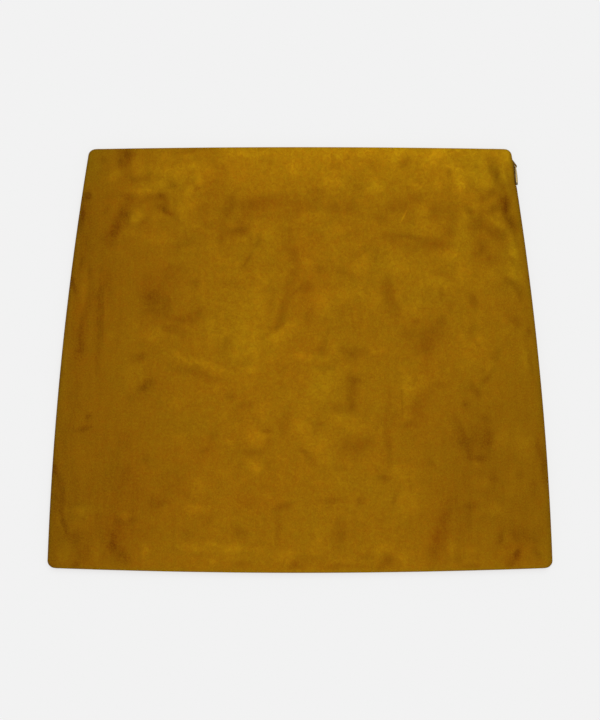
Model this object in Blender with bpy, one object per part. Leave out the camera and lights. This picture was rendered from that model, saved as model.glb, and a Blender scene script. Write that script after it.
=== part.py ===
"""A suede mini skirt laid flat: front and back panels meeting at two side seams, and a side zip.

The skirt lies on the XY plane with its waist towards +Y. Z is the height above what it lies on.
Each panel is one wall of suede whose waist and hem are turned in, so the wall is double there.
"""

import math

import bmesh
import bpy

MM = 0.001

# The laid skirt in plan.
LENGTH = 370.0 * MM  # centre front, waist to hem
WAIST_WIDTH = 366.4 * MM
HEM_WIDTH = 439.7 * MM
HIP_BULGE = 6.0 * MM  # how far the hip curve stands outside a straight side, at half length
WAIST_BOW = 1.8 * MM  # how far the waist's middle stands above its ends
HEM_BOW = 4.4 * MM  # how far the hem's middle hangs below its ends
WAIST_CORNER = 5.0 * MM  # radius of the rounded corners
HEM_CORNER = 6.5 * MM

# The wall and how the two panels lie on each other.
SUEDE = 1.0 * MM
STACK = 5.6 * MM  # both panels with their turned edges, laid on each other
MID = STACK / 2.0
SIDE_ROLL = 3.0 * MM  # how far in from the side a panel starts to roll down to the seam
TURN_IN = 30.0 * MM  # depth of the turned waist and hem
TURN_STEP = 1.5 * MM  # where the doubled wall tapers to a single one
SEAM_HALF_GAP = 0.15 * MM
CENTRE_SAG = 0.75 * MM  # how far the front panel settles between its thicker edges

# The zip in the side seam at +X. Every "down" is measured from the waist along the skirt.
ZIP_END = 177.0 * MM
ZIP_HALF_GAP = 0.35 * MM
SLIDER_HALF_GAP = 0.88 * MM
OPEN_HALF_GAP = 0.6 * MM  # the seam above the slider, which nothing holds shut
SLIDER_TOP = 9.0 * MM
SLIDER_FOOT = 20.5 * MM
TAPE = 1.0 * MM
TAPE_CLEARANCE = 0.3 * MM
TAPE_TOP = 7.0 * MM
TAPE_SETBACK = 2.7 * MM  # from the skirt's side to the tape's edge
TAPE_SETBACK_AT_SLIDER = 7.6 * MM
TAPE_INNER_SETBACK = 11.6 * MM
ZIP_RELIEF = (12.0 * MM, 14.0 * MM)  # the turned waist is cut away from the zip between these

# The pull tab nips the side in where its end lies.
DENT_DEPTH = 1.15 * MM
DENT_AT = 32.0 * MM
DENT_ABOVE = 12.0 * MM
DENT_BELOW = 7.5 * MM

# The slider and the pull tab, about the pin that the tab swings on.
PIN_X = 187.2 * MM
PIN_Y = 168.5 * MM
PIN_RADIUS = 0.42 * MM
BAIL_HOLE = 0.78 * MM
BAIL_RADIUS = 1.5 * MM
BAIL_HALF_WIDTH = 0.55 * MM
BAIL_NOSE_RISE = 7.0 * MM  # from the pin up to where the slanted nose goes into the seam
SLIDER_BODY_X = (179.6 * MM, 183.5 * MM)
SLIDER_BODY_Y = (165.2 * MM, 173.2 * MM)
SLIDER_BODY_HALF = 1.25 * MM
PULL_LENGTH = 17.6 * MM
PULL_TILT = 4.2  # degrees outwards, as it lies against the side
PULL_HALF_THICKNESS = (0.45 * MM, 0.85 * MM)  # at the loop, at the foot
PULL_HALF_WIDTH = (1.75 * MM, 2.2 * MM)
PULL_WINDOW = 3.4 * MM
PULL_WINDOW_HALF = 0.9 * MM

# Soft rises and hollows of the front panel. Places are across from the centre and up from the
# middle of the length, the run is half the length of the rise, the spread half its width, and the
# turn is in degrees from the X axis.
RISES = (
    # across, up, run, spread, turn, height
    (-150.0, 40.0, 120.0, 26.0, 78.0, 0.42),
    (152.0, 10.0, 130.0, 24.0, 101.0, 0.45),
    (-70.0, -105.0, 70.0, 30.0, 62.0, 0.30),
    (84.0, -70.0, 80.0, 28.0, 112.0, 0.34),
    (20.0, 60.0, 95.0, 34.0, 8.0, -0.30),
    (-60.0, 130.0, 80.0, 22.0, -6.0, 0.24),
    (96.0, 128.0, 60.0, 20.0, 14.0, -0.22),
    (0.0, -150.0, 60.0, 26.0, 84.0, 0.36),
    (-150.0, -140.0, 60.0, 24.0, 50.0, -0.28),
    (160.0, -130.0, 55.0, 24.0, 128.0, 0.30),
)
RISE_UNIT = MM

# Where the rings and the points in them lie.
FOLD_ANGLES = (12.0, 36.0, 62.0, 90.0)  # round each turned edge
ROLL_ANGLES = (0.0, 22.5, 45.0, 67.5, 90.0)  # round each side
NEAR_WAIST_ROWS = (1.8, 3.0, 5.0, 8.0, 9.5, 14.0, 18.5, 21.0, 24.0, 27.0, 30.0, 31.5, 33.5, 36.0, 39.0)
NEAR_HEM_ROWS = (31.5, 30.0, 18.0, 9.0, 6.5, 4.2, 2.6, 1.6)
MIDDLE_ROWS = (50.0, 327.0, 14)  # first row down, last row down, count
MIDDLE_COLUMNS = 17
ROUND_SEGMENTS = 24


def side_line(down):
    """Half width of the laid skirt, before its corners are rounded."""
    share = down / LENGTH
    straight = (WAIST_WIDTH + (HEM_WIDTH - WAIST_WIDTH) * share) / 2.0
    return straight + 4.0 * HIP_BULGE * share * (1.0 - share)


def corner_cut(down):
    """How far a rounded corner draws the side in."""
    radius = WAIST_CORNER if down < LENGTH / 2.0 else HEM_CORNER
    short = radius - min(down, LENGTH - down)
    if short <= 0.0:
        return 0.0
    return radius - math.sqrt(max(radius**2 - short**2, 0.0))


def pull_dent(down):
    """How far the zip side is nipped in behind the pull tab."""
    away = down - DENT_AT
    reach = DENT_BELOW if away > 0.0 else DENT_ABOVE
    if abs(away) >= reach:
        return 0.0
    return DENT_DEPTH * math.cos(math.pi / 2.0 * away / reach) ** 2


def half_width(side, down):
    """Half width on one side, +1 for the zip side."""
    reach = side_line(down) - corner_cut(down)
    if side > 0:
        reach -= pull_dent(down)
    return reach


def seam_half_gap(side, down):
    """Half the gap between the panels' edges at a side seam."""
    if side < 0 or down > ZIP_END:
        return SEAM_HALF_GAP
    if down > SLIDER_FOOT:
        return ZIP_HALF_GAP
    if down >= SLIDER_TOP:
        return SLIDER_HALF_GAP
    return OPEN_HALF_GAP


def along(across, down):
    """Y of a point that lies across from the centre, on a line that bows with waist and hem."""
    share = down / LENGTH
    out = across / side_line(down)
    bow = (-WAIST_BOW * (1.0 - share) + HEM_BOW * share) * out**2
    return LENGTH / 2.0 - down + bow


def edge_fade(across, down):
    """1 over the panel's middle, falling to 0 at its edges."""
    out = across / side_line(down)
    share = 2.0 * down / LENGTH - 1.0
    return max(0.0, 1.0 - out**4) * max(0.0, 1.0 - share**6)


def rises(across, up):
    """Height that the soft rises and hollows add to the front panel."""
    total = 0.0
    for centre_x, centre_y, run, spread, turn, height in RISES:
        angle = math.radians(turn)
        dx = across / RISE_UNIT - centre_x
        dy = up / RISE_UNIT - centre_y
        lengthwise = (dx * math.cos(angle) + dy * math.sin(angle)) / run
        sideways = (dy * math.cos(angle) - dx * math.sin(angle)) / spread
        total += height * RISE_UNIT * math.exp(-(lengthwise**2) - sideways**2)
    return total


def outer_height(face, across, down):
    """Height of a panel's outer side: face is +1 for the front and -1 for the back."""
    if face < 0:
        return 0.0
    fade = edge_fade(across, down)
    lift = rises(across, along(across, down))
    return STACK - CENTRE_SAG * fade + lift * (0.35 + 0.65 * fade)


def ramp(value, low, high):
    """0 at low, 1 at high and straight between them."""
    return min(1.0, max(0.0, (value - low) / (high - low)))


def wall(across, down):
    """Thickness of a panel's wall, double where the waist and the hem are turned in."""
    from_end = min(down, LENGTH - down)
    turned = 1.0 - ramp(from_end, TURN_IN, TURN_IN + TURN_STEP)
    inside_left = ramp(half_width(-1, down) + across, SIDE_ROLL, 2.0 * SIDE_ROLL)
    relief = ZIP_RELIEF if down < LENGTH / 2.0 else (SIDE_ROLL, 2.0 * SIDE_ROLL)
    inside_right = ramp(half_width(1, down) - across, *relief)
    return SUEDE * (1.0 + turned * inside_left * inside_right)


def rows():
    """(down, roundness) of each ring: roundness is below 1 round a turned edge."""
    radius = SUEDE
    start = 1.0 - math.cos(math.radians(FOLD_ANGLES[0]))
    fold = []
    for degrees in FOLD_ANGLES:
        angle = math.radians(degrees)
        fold.append((radius * (1.0 - math.cos(angle) - start), math.sin(angle)))
    first, last, count = MIDDLE_ROWS
    found = list(fold)
    found += [(down * MM, 1.0) for down in NEAR_WAIST_ROWS]
    for step in range(count):
        found.append(((first + (last - first) * step / (count - 1)) * MM, 1.0))
    found += [(LENGTH - down * MM, 1.0) for down in NEAR_HEM_ROWS]
    found += [(LENGTH - down, roundness) for down, roundness in reversed(fold)]
    return found


def rolled_pairs(face, side, down):
    """Outer and inner points round one side, from the seam up to the flat."""
    reach = half_width(side, down)
    gap = seam_half_gap(side, down)
    centre = reach - SIDE_ROLL
    height = abs(outer_height(face, side * centre, down) - MID) - gap
    pairs = []
    for degrees in ROLL_ANGLES:
        out = math.cos(math.radians(degrees))
        rise = math.sin(math.radians(degrees))
        outer = (side * (centre + SIDE_ROLL * out), MID + face * (gap + height * rise))
        inner_x = side * (centre + (SIDE_ROLL - SUEDE) * out)
        inner_z = MID + face * (gap + (height - SUEDE) * rise)
        pairs.append((outer, (inner_x, inner_z)))
    return pairs


def flat_columns(down):
    """Across places of the points between the two rolled sides."""
    left = half_width(-1, down)
    right = half_width(1, down)
    relief_low, relief_high = ZIP_RELIEF
    first = -left + relief_high
    last = right - relief_high
    found = [-left + 2.0 * SIDE_ROLL]
    for step in range(MIDDLE_COLUMNS):
        found.append(first + (last - first) * step / (MIDDLE_COLUMNS - 1))
    found += [right - relief_low, right - 2.0 * SIDE_ROLL]
    return found


def ring(face, down, roundness):
    """Outer and inner points of one cross-section, from the seam at -X to the one at +X."""
    pairs = rolled_pairs(face, -1, down)
    for across in flat_columns(down):
        height = outer_height(face, across, down)
        pairs.append(((across, height), (across, height - face * wall(across, down))))
    pairs += reversed(rolled_pairs(face, 1, down))
    outer = []
    inner = []
    for (outer_x, outer_z), (inner_x, inner_z) in pairs:
        middle_x = (outer_x + inner_x) / 2.0
        middle_z = (outer_z + inner_z) / 2.0
        for line, x, z in ((outer, outer_x, outer_z), (inner, inner_x, inner_z)):
            across = middle_x + (x - middle_x) * roundness
            line.append((across, along(across, down), middle_z + (z - middle_z) * roundness))
    return outer + inner[::-1]


def loft(rings):
    """A closed mesh through rings of equal count, with its two ends filled."""
    mesh = bmesh.new()
    loops = [[mesh.verts.new(point) for point in points] for points in rings]
    count = len(loops[0])
    for near, far in zip(loops, loops[1:]):
        for i in range(count):
            j = (i + 1) % count
            mesh.faces.new((near[i], near[j], far[j], far[i]))
    for end in (loops[0], loops[-1]):
        for i in range(count // 2 - 1):
            mesh.faces.new((end[i], end[i + 1], end[count - 2 - i], end[count - 1 - i]))
    bmesh.ops.recalc_face_normals(mesh, faces=mesh.faces)
    return mesh


def finish(name):
    """A plain material of this name, for the caller to colour."""
    material = bpy.data.materials.new(name)
    material.use_nodes = True
    return material


def suede_finish():
    material = finish("suede")
    shader = material.node_tree.nodes["Principled BSDF"]
    shader.inputs["Base Color"].default_value = (0.275, 0.117, 0.003, 1.0)
    shader.inputs["Roughness"].default_value = 0.95
    shader.inputs["Metallic"].default_value = 0.0
    return material


def tape_finish():
    material = finish("zip_tape")
    shader = material.node_tree.nodes["Principled BSDF"]
    shader.inputs["Base Color"].default_value = (0.065, 0.03, 0.004, 1.0)
    shader.inputs["Roughness"].default_value = 0.85
    shader.inputs["Metallic"].default_value = 0.0
    return material


def slider_finish():
    material = finish("brown_lacquer")
    shader = material.node_tree.nodes["Principled BSDF"]
    shader.inputs["Base Color"].default_value = (0.075, 0.04, 0.006, 1.0)
    shader.inputs["Roughness"].default_value = 0.4
    shader.inputs["Metallic"].default_value = 0.0
    return material


def pull_finish():
    material = finish("pale_gold")
    shader = material.node_tree.nodes["Principled BSDF"]
    shader.inputs["Base Color"].default_value = (0.62, 0.48, 0.27, 1.0)
    shader.inputs["Roughness"].default_value = 0.35
    shader.inputs["Metallic"].default_value = 1.0
    return material


def add_object(name, mesh, material):
    """Puts a bmesh into the scene as a named object."""
    data = bpy.data.meshes.new(name)
    mesh.to_mesh(data)
    mesh.free()
    data.materials.append(material)
    made = bpy.data.objects.new(name, data)
    bpy.context.scene.collection.objects.link(made)
    return made


def make_cutter(name, mesh, material):
    """An object that only shapes another one."""
    cutter = add_object(name, mesh, material)
    cutter.hide_render = True
    cutter.display_type = "WIRE"
    return cutter


def apply_shape(made, cutter, operation):
    """Joins or cuts an object by a cutter."""
    modifier = made.modifiers.new(cutter.name, "BOOLEAN")
    modifier.operation = operation
    modifier.solver = "EXACT"
    modifier.object = cutter


def soften(made):
    """Smooth shading with the true edges kept sharp."""
    made.data.shade_smooth()
    made.data.set_sharp_from_angle(angle=math.radians(40.0))


def panel(name, face, material):
    """One suede panel: face is +1 for the front and -1 for the back."""
    rings = [ring(face, down, roundness) for down, roundness in rows()]
    made = add_object(name, loft(rings), material)
    soften(made)
    return made


def tape_rows():
    """(down, setback of the tape's outer edge) along the zip, stepped in beside the slider."""
    step = 0.6 * MM
    found = [(TAPE_TOP, TAPE_SETBACK_AT_SLIDER), (SLIDER_FOOT, TAPE_SETBACK_AT_SLIDER)]
    found.append((SLIDER_FOOT + step, TAPE_SETBACK))
    start = SLIDER_FOOT + 4.0 * MM
    count = 16
    for i in range(count):
        found.append((start + (ZIP_END - start) * i / (count - 1), TAPE_SETBACK))
    return found


def zip_tape(name, face, material):
    """One of the zip's two tapes, lying against the inside of its panel."""
    rings = []
    for down, setback in tape_rows():
        reach = half_width(1, down)
        points = []
        for across, layer in ((0, 0), (1, 0), (1, 1), (0, 1)):
            x = reach - (setback if across else TAPE_INNER_SETBACK)
            skin = abs(outer_height(face, x, down) - MID) - SUEDE - TAPE_CLEARANCE
            points.append((x, along(x, down), MID + face * (skin - layer * TAPE)))
        rings.append(points)
    return add_object(name, loft(rings), material)


def block(low, high):
    """A plain block between two corners."""
    mesh = bmesh.new()
    bmesh.ops.create_cube(mesh, size=1.0)
    for vert in mesh.verts:
        for axis in range(3):
            share = vert.co[axis] + 0.5
            vert.co[axis] = low[axis] + (high[axis] - low[axis]) * share
    return mesh


def extruded(outline, low, high):
    """A plate between two heights, with the outline seen from above."""
    mesh = bmesh.new()
    floor = [mesh.verts.new((x, y, low)) for x, y in outline]
    roof = [mesh.verts.new((x, y, high)) for x, y in outline]
    mesh.faces.new(floor)
    mesh.faces.new(roof)
    for i, vert in enumerate(floor):
        j = (i + 1) % len(floor)
        mesh.faces.new((vert, floor[j], roof[j], roof[i]))
    bmesh.ops.recalc_face_normals(mesh, faces=mesh.faces)
    return mesh


def bail_outline():
    """The slider's bail seen from above: a round end on a slanted nose and a short foot."""
    inner_x = SLIDER_BODY_X[1] - 0.8 * MM
    points = [(inner_x, PIN_Y - BAIL_RADIUS)]
    for step in range(13):
        angle = math.radians(-90.0 + 10.0 * step)
        points.append((PIN_X + BAIL_RADIUS * math.cos(angle), PIN_Y + BAIL_RADIUS * math.sin(angle)))
    points.append((inner_x + 1.2 * MM, PIN_Y + BAIL_NOSE_RISE))
    points.append((inner_x, PIN_Y + BAIL_NOSE_RISE))
    return points


def zip_slider(material):
    """The slider: a body inside the seam, and a bail outside it that carries the pull."""
    outline = bail_outline()
    made = add_object(
        "zip_slider",
        extruded(outline, MID - BAIL_HALF_WIDTH, MID + BAIL_HALF_WIDTH),
        material,
    )
    low = (SLIDER_BODY_X[0], SLIDER_BODY_Y[0], MID - SLIDER_BODY_HALF)
    high = (SLIDER_BODY_X[1], SLIDER_BODY_Y[1], MID + SLIDER_BODY_HALF)
    body = block(low, high)
    bmesh.ops.bevel(
        body, geom=list(body.edges), offset=0.5 * MM, segments=2, profile=0.5, affect="EDGES"
    )
    apply_shape(made, make_cutter("slider_body_shape", body, material), "UNION")
    hole = bmesh.new()
    bmesh.ops.create_cone(
        hole,
        cap_ends=True,
        segments=ROUND_SEGMENTS,
        radius1=BAIL_HOLE,
        radius2=BAIL_HOLE,
        depth=4.0 * MM,
    )
    bmesh.ops.translate(hole, verts=hole.verts, vec=(PIN_X, PIN_Y, MID))
    apply_shape(made, make_cutter("slider_hole_shape", hole, material), "DIFFERENCE")
    soften(made)
    return made


def pull_rows():
    """(Y from the pin, half thickness, half width) of the tab's sections, top to foot."""
    found = []
    for degrees in (72.0, 45.0, 20.0):
        angle = math.radians(degrees)
        found.append((PIN_RADIUS * math.sin(angle), PIN_RADIUS * math.cos(angle), PULL_HALF_WIDTH[0]))
    found.append((0.0, PIN_RADIUS, PULL_HALF_WIDTH[0]))
    thin, thick = PULL_HALF_THICKNESS
    narrow, wide = PULL_HALF_WIDTH
    found.append((-PULL_WINDOW, thin, narrow))
    round_start = PULL_LENGTH - wide
    for step in range(1, 6):
        share = step / 5.0
        y = -PULL_WINDOW - (round_start - PULL_WINDOW) * share
        swell = share * share * (3.0 - 2.0 * share)
        found.append((y, thin + (thick - thin) * swell, narrow + (wide - narrow) * share))
    for degrees in (30.0, 55.0, 75.0):
        angle = math.radians(degrees)
        y = -round_start - wide * math.sin(angle)
        found.append((y, thick * math.cos(angle) ** 0.5, wide * math.cos(angle)))
    return found


def zip_pull(material):
    """The pull tab, with its origin on the pin that it swings on."""
    corner = 0.7
    tilt = math.radians(PULL_TILT)
    rings = []
    for y, thickness, width in pull_rows():
        section = []
        for out, up in ((1, corner), (corner, 1), (-corner, 1), (-1, corner)):
            section.append((thickness * out, y, width * up))
        for out, up in ((-1, corner), (-corner, 1), (corner, 1), (1, corner)):
            section.append((thickness * out, y, -width * up))
        rings.append(section)
    mesh = loft(rings)
    window = block(
        (-2.0 * MM, -PULL_WINDOW, -PULL_WINDOW_HALF), (2.0 * MM, -PIN_RADIUS, PULL_WINDOW_HALF)
    )
    made = add_object("zip_pull", mesh, material)
    cutter = make_cutter("pull_window_shape", window, material)
    for placed in (made, cutter):
        placed.location = (PIN_X, PIN_Y, MID)
        placed.rotation_euler = (0.0, 0.0, tilt)
    apply_shape(made, cutter, "DIFFERENCE")
    soften(made)
    return made


def build():
    for old in list(bpy.data.objects):
        bpy.data.objects.remove(old, do_unlink=True)
    suede = suede_finish()
    tape = tape_finish()
    panel("front_panel", 1, suede)
    panel("back_panel", -1, suede)
    zip_tape("zip_tape_front", 1, tape)
    zip_tape("zip_tape_back", -1, tape)
    zip_slider(slider_finish())
    zip_pull(pull_finish())


build()
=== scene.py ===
import math

import bmesh
import bpy
import numpy as np
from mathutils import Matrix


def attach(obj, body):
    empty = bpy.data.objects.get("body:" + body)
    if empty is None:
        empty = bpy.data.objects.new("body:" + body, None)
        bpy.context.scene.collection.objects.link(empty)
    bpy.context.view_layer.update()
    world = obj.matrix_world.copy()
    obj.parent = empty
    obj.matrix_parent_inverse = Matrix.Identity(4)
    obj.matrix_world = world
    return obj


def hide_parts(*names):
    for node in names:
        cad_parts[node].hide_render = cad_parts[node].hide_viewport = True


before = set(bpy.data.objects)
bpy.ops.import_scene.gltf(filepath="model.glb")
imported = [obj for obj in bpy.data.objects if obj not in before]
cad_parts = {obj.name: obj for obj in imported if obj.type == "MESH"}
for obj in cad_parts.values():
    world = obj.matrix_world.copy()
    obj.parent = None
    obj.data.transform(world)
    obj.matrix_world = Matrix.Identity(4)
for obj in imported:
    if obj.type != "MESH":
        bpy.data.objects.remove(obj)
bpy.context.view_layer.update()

# A golden tan suede mini skirt laid flat on its back, zip side at +X, waist towards +Y.
# Sizes are metres. "Across" is measured from the centre, "up" from the middle of the length,
# and "down" from the waist along the skirt.
MM = 0.001

LENGTH = 370.0 * MM
WAIST_WIDTH = 366.4 * MM
HEM_WIDTH = 439.7 * MM
HIP_BULGE = 6.0 * MM
WAIST_BOW = 1.8 * MM
HEM_BOW = 4.4 * MM
WAIST_CORNER = 5.0 * MM
HEM_CORNER = 6.5 * MM

SUEDE = 1.0 * MM
STACK = 5.6 * MM
MID = STACK / 2.0
SIDE_ROLL = 3.0 * MM
TURN_IN = 30.0 * MM
TURN_STEP = 1.5 * MM
SEAM_HALF_GAP = 0.15 * MM
CENTRE_SAG = 0.75 * MM
SEAM_LIP = 0.35 * MM  # how softly a panel's edge goes into the side seam
BAND_LIFT = 0.10 * MM  # how far the turned waist and hem stand up on the face
BAND_FADE = 5.0 * MM

ZIP_END = 177.0 * MM
ZIP_HALF_GAP = 0.35 * MM
SLIDER_HALF_GAP = 0.88 * MM
OPEN_HALF_GAP = 0.6 * MM
SLIDER_TOP = 9.0 * MM
SLIDER_FOOT = 20.5 * MM
TAPE_TOP = 7.0 * MM
TAPE_SETBACK = 2.7 * MM
TAPE_SETBACK_AT_SLIDER = 7.6 * MM
TAPE_INNER_SETBACK = 11.6 * MM
TAPE_CLEARANCE = 0.3 * MM
TAPE_CLOTH = 0.6 * MM
TAPE_STEP = 0.6 * MM  # length of the step below the slider
TAPE_ROWS = (8, 90)  # beside the slider, below it
TAPE_COLUMNS = 7
ZIP_RELIEF = (12.0 * MM, 14.0 * MM)  # where the turned waist ends, inwards from the zip
COIL_SETBACK = 2.3 * MM
THREAD_SETBACK = 0.32 * MM
SEAM_POINTS = 80
THREAD_SHORT = 1.5 * MM  # how far the thread stops from the waist and the hem

# The dent in the cloth beside the pull: its depth, its place and its reach up and down.
DENT_DEPTH = 0.56 * MM
DENT_AT = 30.0 * MM
DENT_ABOVE = 8.0 * MM
DENT_BELOW = 3.5 * MM

PIN_X = 187.2 * MM
PIN_Y = 168.5 * MM
PIN_RADIUS = 0.42 * MM
PULL_LENGTH = 16.4 * MM
PULL_HALF_WIDTH = (1.75 * MM, 2.2 * MM)  # at its loop, at its foot
PULL_SHAPE = (
    # along from its pin, across from its pin, half thickness, all in mm
    (0.0, 0.0, 0.42),
    (-3.4, 0.48, 0.62),
    (-8.0, 0.70, 0.98),
    (-12.0, 1.08, 1.04),
    (-16.4, 1.43, 0.70),
)
PULL_WINDOW = (0.30 * MM, 3.4 * MM)  # top and foot of its hole, down from the pin
PULL_WINDOW_HALF = 0.9 * MM
PULL_HEAD_ANGLES = (84.0, 72.0, 58.0, 44.0, 30.0, 15.0, 0.0)
PULL_FOOT_ANGLES = (12.0, 24.0, 36.0, 48.0, 60.0, 70.0, 78.0, 85.0)
PULL_HEAD_NARROWING = 0.5 * MM
PULL_ROWS = 20
PULL_SIDES = 28
PULL_SQUARENESS = 0.34  # 1 gives a round section and 0 a square one
PULL_FOOT_BLUNTNESS = 0.45
BAIL_RADIUS = 1.5 * MM
BAIL_HOLE = 0.62 * MM
BAIL_HALF_WIDTH = 0.55 * MM
BAIL_NOSE_RISE = 7.0 * MM
BAIL_NOSE_SLANT = 1.3 * MM
BAIL_INNER_STEP = 0.9 * MM  # how far the bail reaches into the slider's body
BAIL_FOOT_INSIDE = 4.4 * MM
# The slider's back beside the cloth: its lowest points run on below the slider's body as a narrow
# dark tail along the cloth's edge, standing in for shadow in the seam's gap.
BAIL_FOOT_WITH_SHADOW_TAIL = (
    # across, along from the bail's underside, both in mm
    (185.55, -4.4), (185.65, -6.6), (186.70, -7.1), (186.93, -6.5), (186.91, -3.2), (186.82, 0.1),
)
BAIL_MIDDLE = (2.5 * MM, 0.5 * MM)
BAIL_BEVEL = 0.14 * MM
BAIL_LAYERS = (
    # share of the half width, share of the bevel
    (-1.0, 1.0), (-0.86, 0.3), (-0.6, 0.0), (0.6, 0.0), (0.86, 0.3), (1.0, 1.0),
)
BAIL_THIN_FROM = 164.9 * MM  # below here the bail is as flat as the seam's gap
BAIL_THIN_OVER = 0.5 * MM
BAIL_THINNER_BY = 0.20 * MM
SLIDER_BODY = ((179.6 * MM, 165.2 * MM), (183.5 * MM, 173.2 * MM))
SLIDER_BODY_HALF = 1.25 * MM

SMOOTH_BELOW = 40.0  # degrees between two faces
HARD_SMOOTH_BELOW = 50.0  # the same for the metal pieces
FOLD_ANGLES = (8.0, 22.0, 38.0, 55.0, 72.0, 90.0)
ROLL_ANGLES = (7.5, 16.0, 27.0, 39.0, 52.0, 65.0, 78.0, 90.0)
FACE_ROWS = 178
FLAT_AT_EDGES = 0.45  # share of the broad waves that reaches the panel's edges
CREASE_FADE = 8.0 * MM
CORNER_ROWS = 8
CORNER_REACH = 7.0 * MM
FACE_COLUMNS = 212

# The studio: a pale floor, one broad light and a soft sky.
FLOOR_BELOW = 0.3 * MM
FLOOR_GREY = 0.18
FLOOR_GLOW = 0.691
SUN_STRENGTH = 1.9
SUN_SPREAD = 55.0  # degrees
SUN_TURN = (-24.0, 10.0)  # degrees about X and Y
SKY_LIGHT = 0.55
SKY_SEEN = 0.338  # how much brighter the sky is where it is seen itself

# Soft ridges and troughs of the laid cloth: run and spread are half its length and half its
# width in mm, turn is in degrees from the X axis, and height is in mm.
RISES = (
    # across, up, run, spread, turn, height
    (-150, 40, 120, 26, 78, 0.67), (152, 10, 130, 24, 101, 0.72), (-70, -105, 70, 30, 62, 0.48),
    (84, -70, 80, 28, 112, 0.54), (20, 60, 95, 34, 8, -0.48), (-60, 130, 80, 22, -6, 0.38),
    (96, 128, 60, 20, 14, -0.35), (0, -150, 60, 26, 84, 0.58), (-150, -140, 60, 24, 50, -0.45),
    (160, -130, 55, 24, 128, 0.48),
)
FRONT_CREASES = (
    # across, up, run, spread, turn, height
    (-174, 48, 38, 3.6, 88, -0.2), (-188, 56, 30, 4.5, 82, 0.2), (-192, 12, 26, 4, 86, -0.18),
    (-156, 122, 22, 6, 62, -0.26), (-118, 130, 17, 4.5, -35, -0.22), (-20, 137, 62, 7.5, 4, -0.2),
    (100, 104, 36, 6, -5, -0.2), (169, 158, 22, 4.5, 103, -0.24), (179, 130, 22, 5.5, 105, -0.32),
    (188, 60, 22, 5, 112, -0.22), (44, -27, 26, 6, 91, -0.24), (92, -32, 24, 4.5, 94, 0.22),
    (78, -62, 36, 4.5, 92, -0.16), (140, -70, 24, 5.5, -68, -0.24), (163, -68, 18, 4.5, 93, -0.22),
    (122, -150, 30, 6, 82, -0.28), (-84, -5, 30, 4.5, -15, 0.2), (-18, -146, 20, 4.5, 92, -0.2),
    (-158, -150, 34, 8, 96, -0.26), (-205, -130, 30, 5, 98, -0.2),
)
BACK_CREASES = (
    # across, up, run, spread, turn, height: all hollows, because the rest lies on the surface
    (-162, 60, 44, 6, 84, 0.26), (158, 20, 52, 7, 98, 0.28), (-60, 118, 46, 6, 12, 0.2),
    (64, 128, 40, 6, -14, 0.22), (22, -40, 40, 7, 76, 0.18), (-110, -90, 46, 7, 62, 0.24),
    (112, -120, 40, 6, 118, 0.26), (-20, -148, 28, 6, 94, 0.2),
)

# Broad soft patches of the cloth, lighter above 0 and darker below.
BROAD_TONES = (
    # across, up, half width, half height, turn, tone
    (165, -115, 58, 66, 0, -0.56), (-178, -122, 48, 66, 0, -0.24), (160, -42, 52, 42, 0, -0.22),
    (-145, 20, 46, 105, 0, -0.16), (-120, -120, 46, 60, 0, -0.12), (-38, 5, 46, 75, 0, 0.10),
    (40, 105, 40, 25, 0, 0.10), (-62, 182, 42, 13, 0, -0.20), (-52, 54, 38, 16, 0, -0.13),
    (-62, -80, 30, 24, 0, -0.12), (-140, -150, 42, 15, 0, -0.12), (118, -130, 28, 50, 0, -0.10),
    (-186, -168, 16, 12, 0, -0.16), (92, 62, 34, 12, 0, 0.10), (196, 0, 22, 50, 0, -0.06),
)

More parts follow.
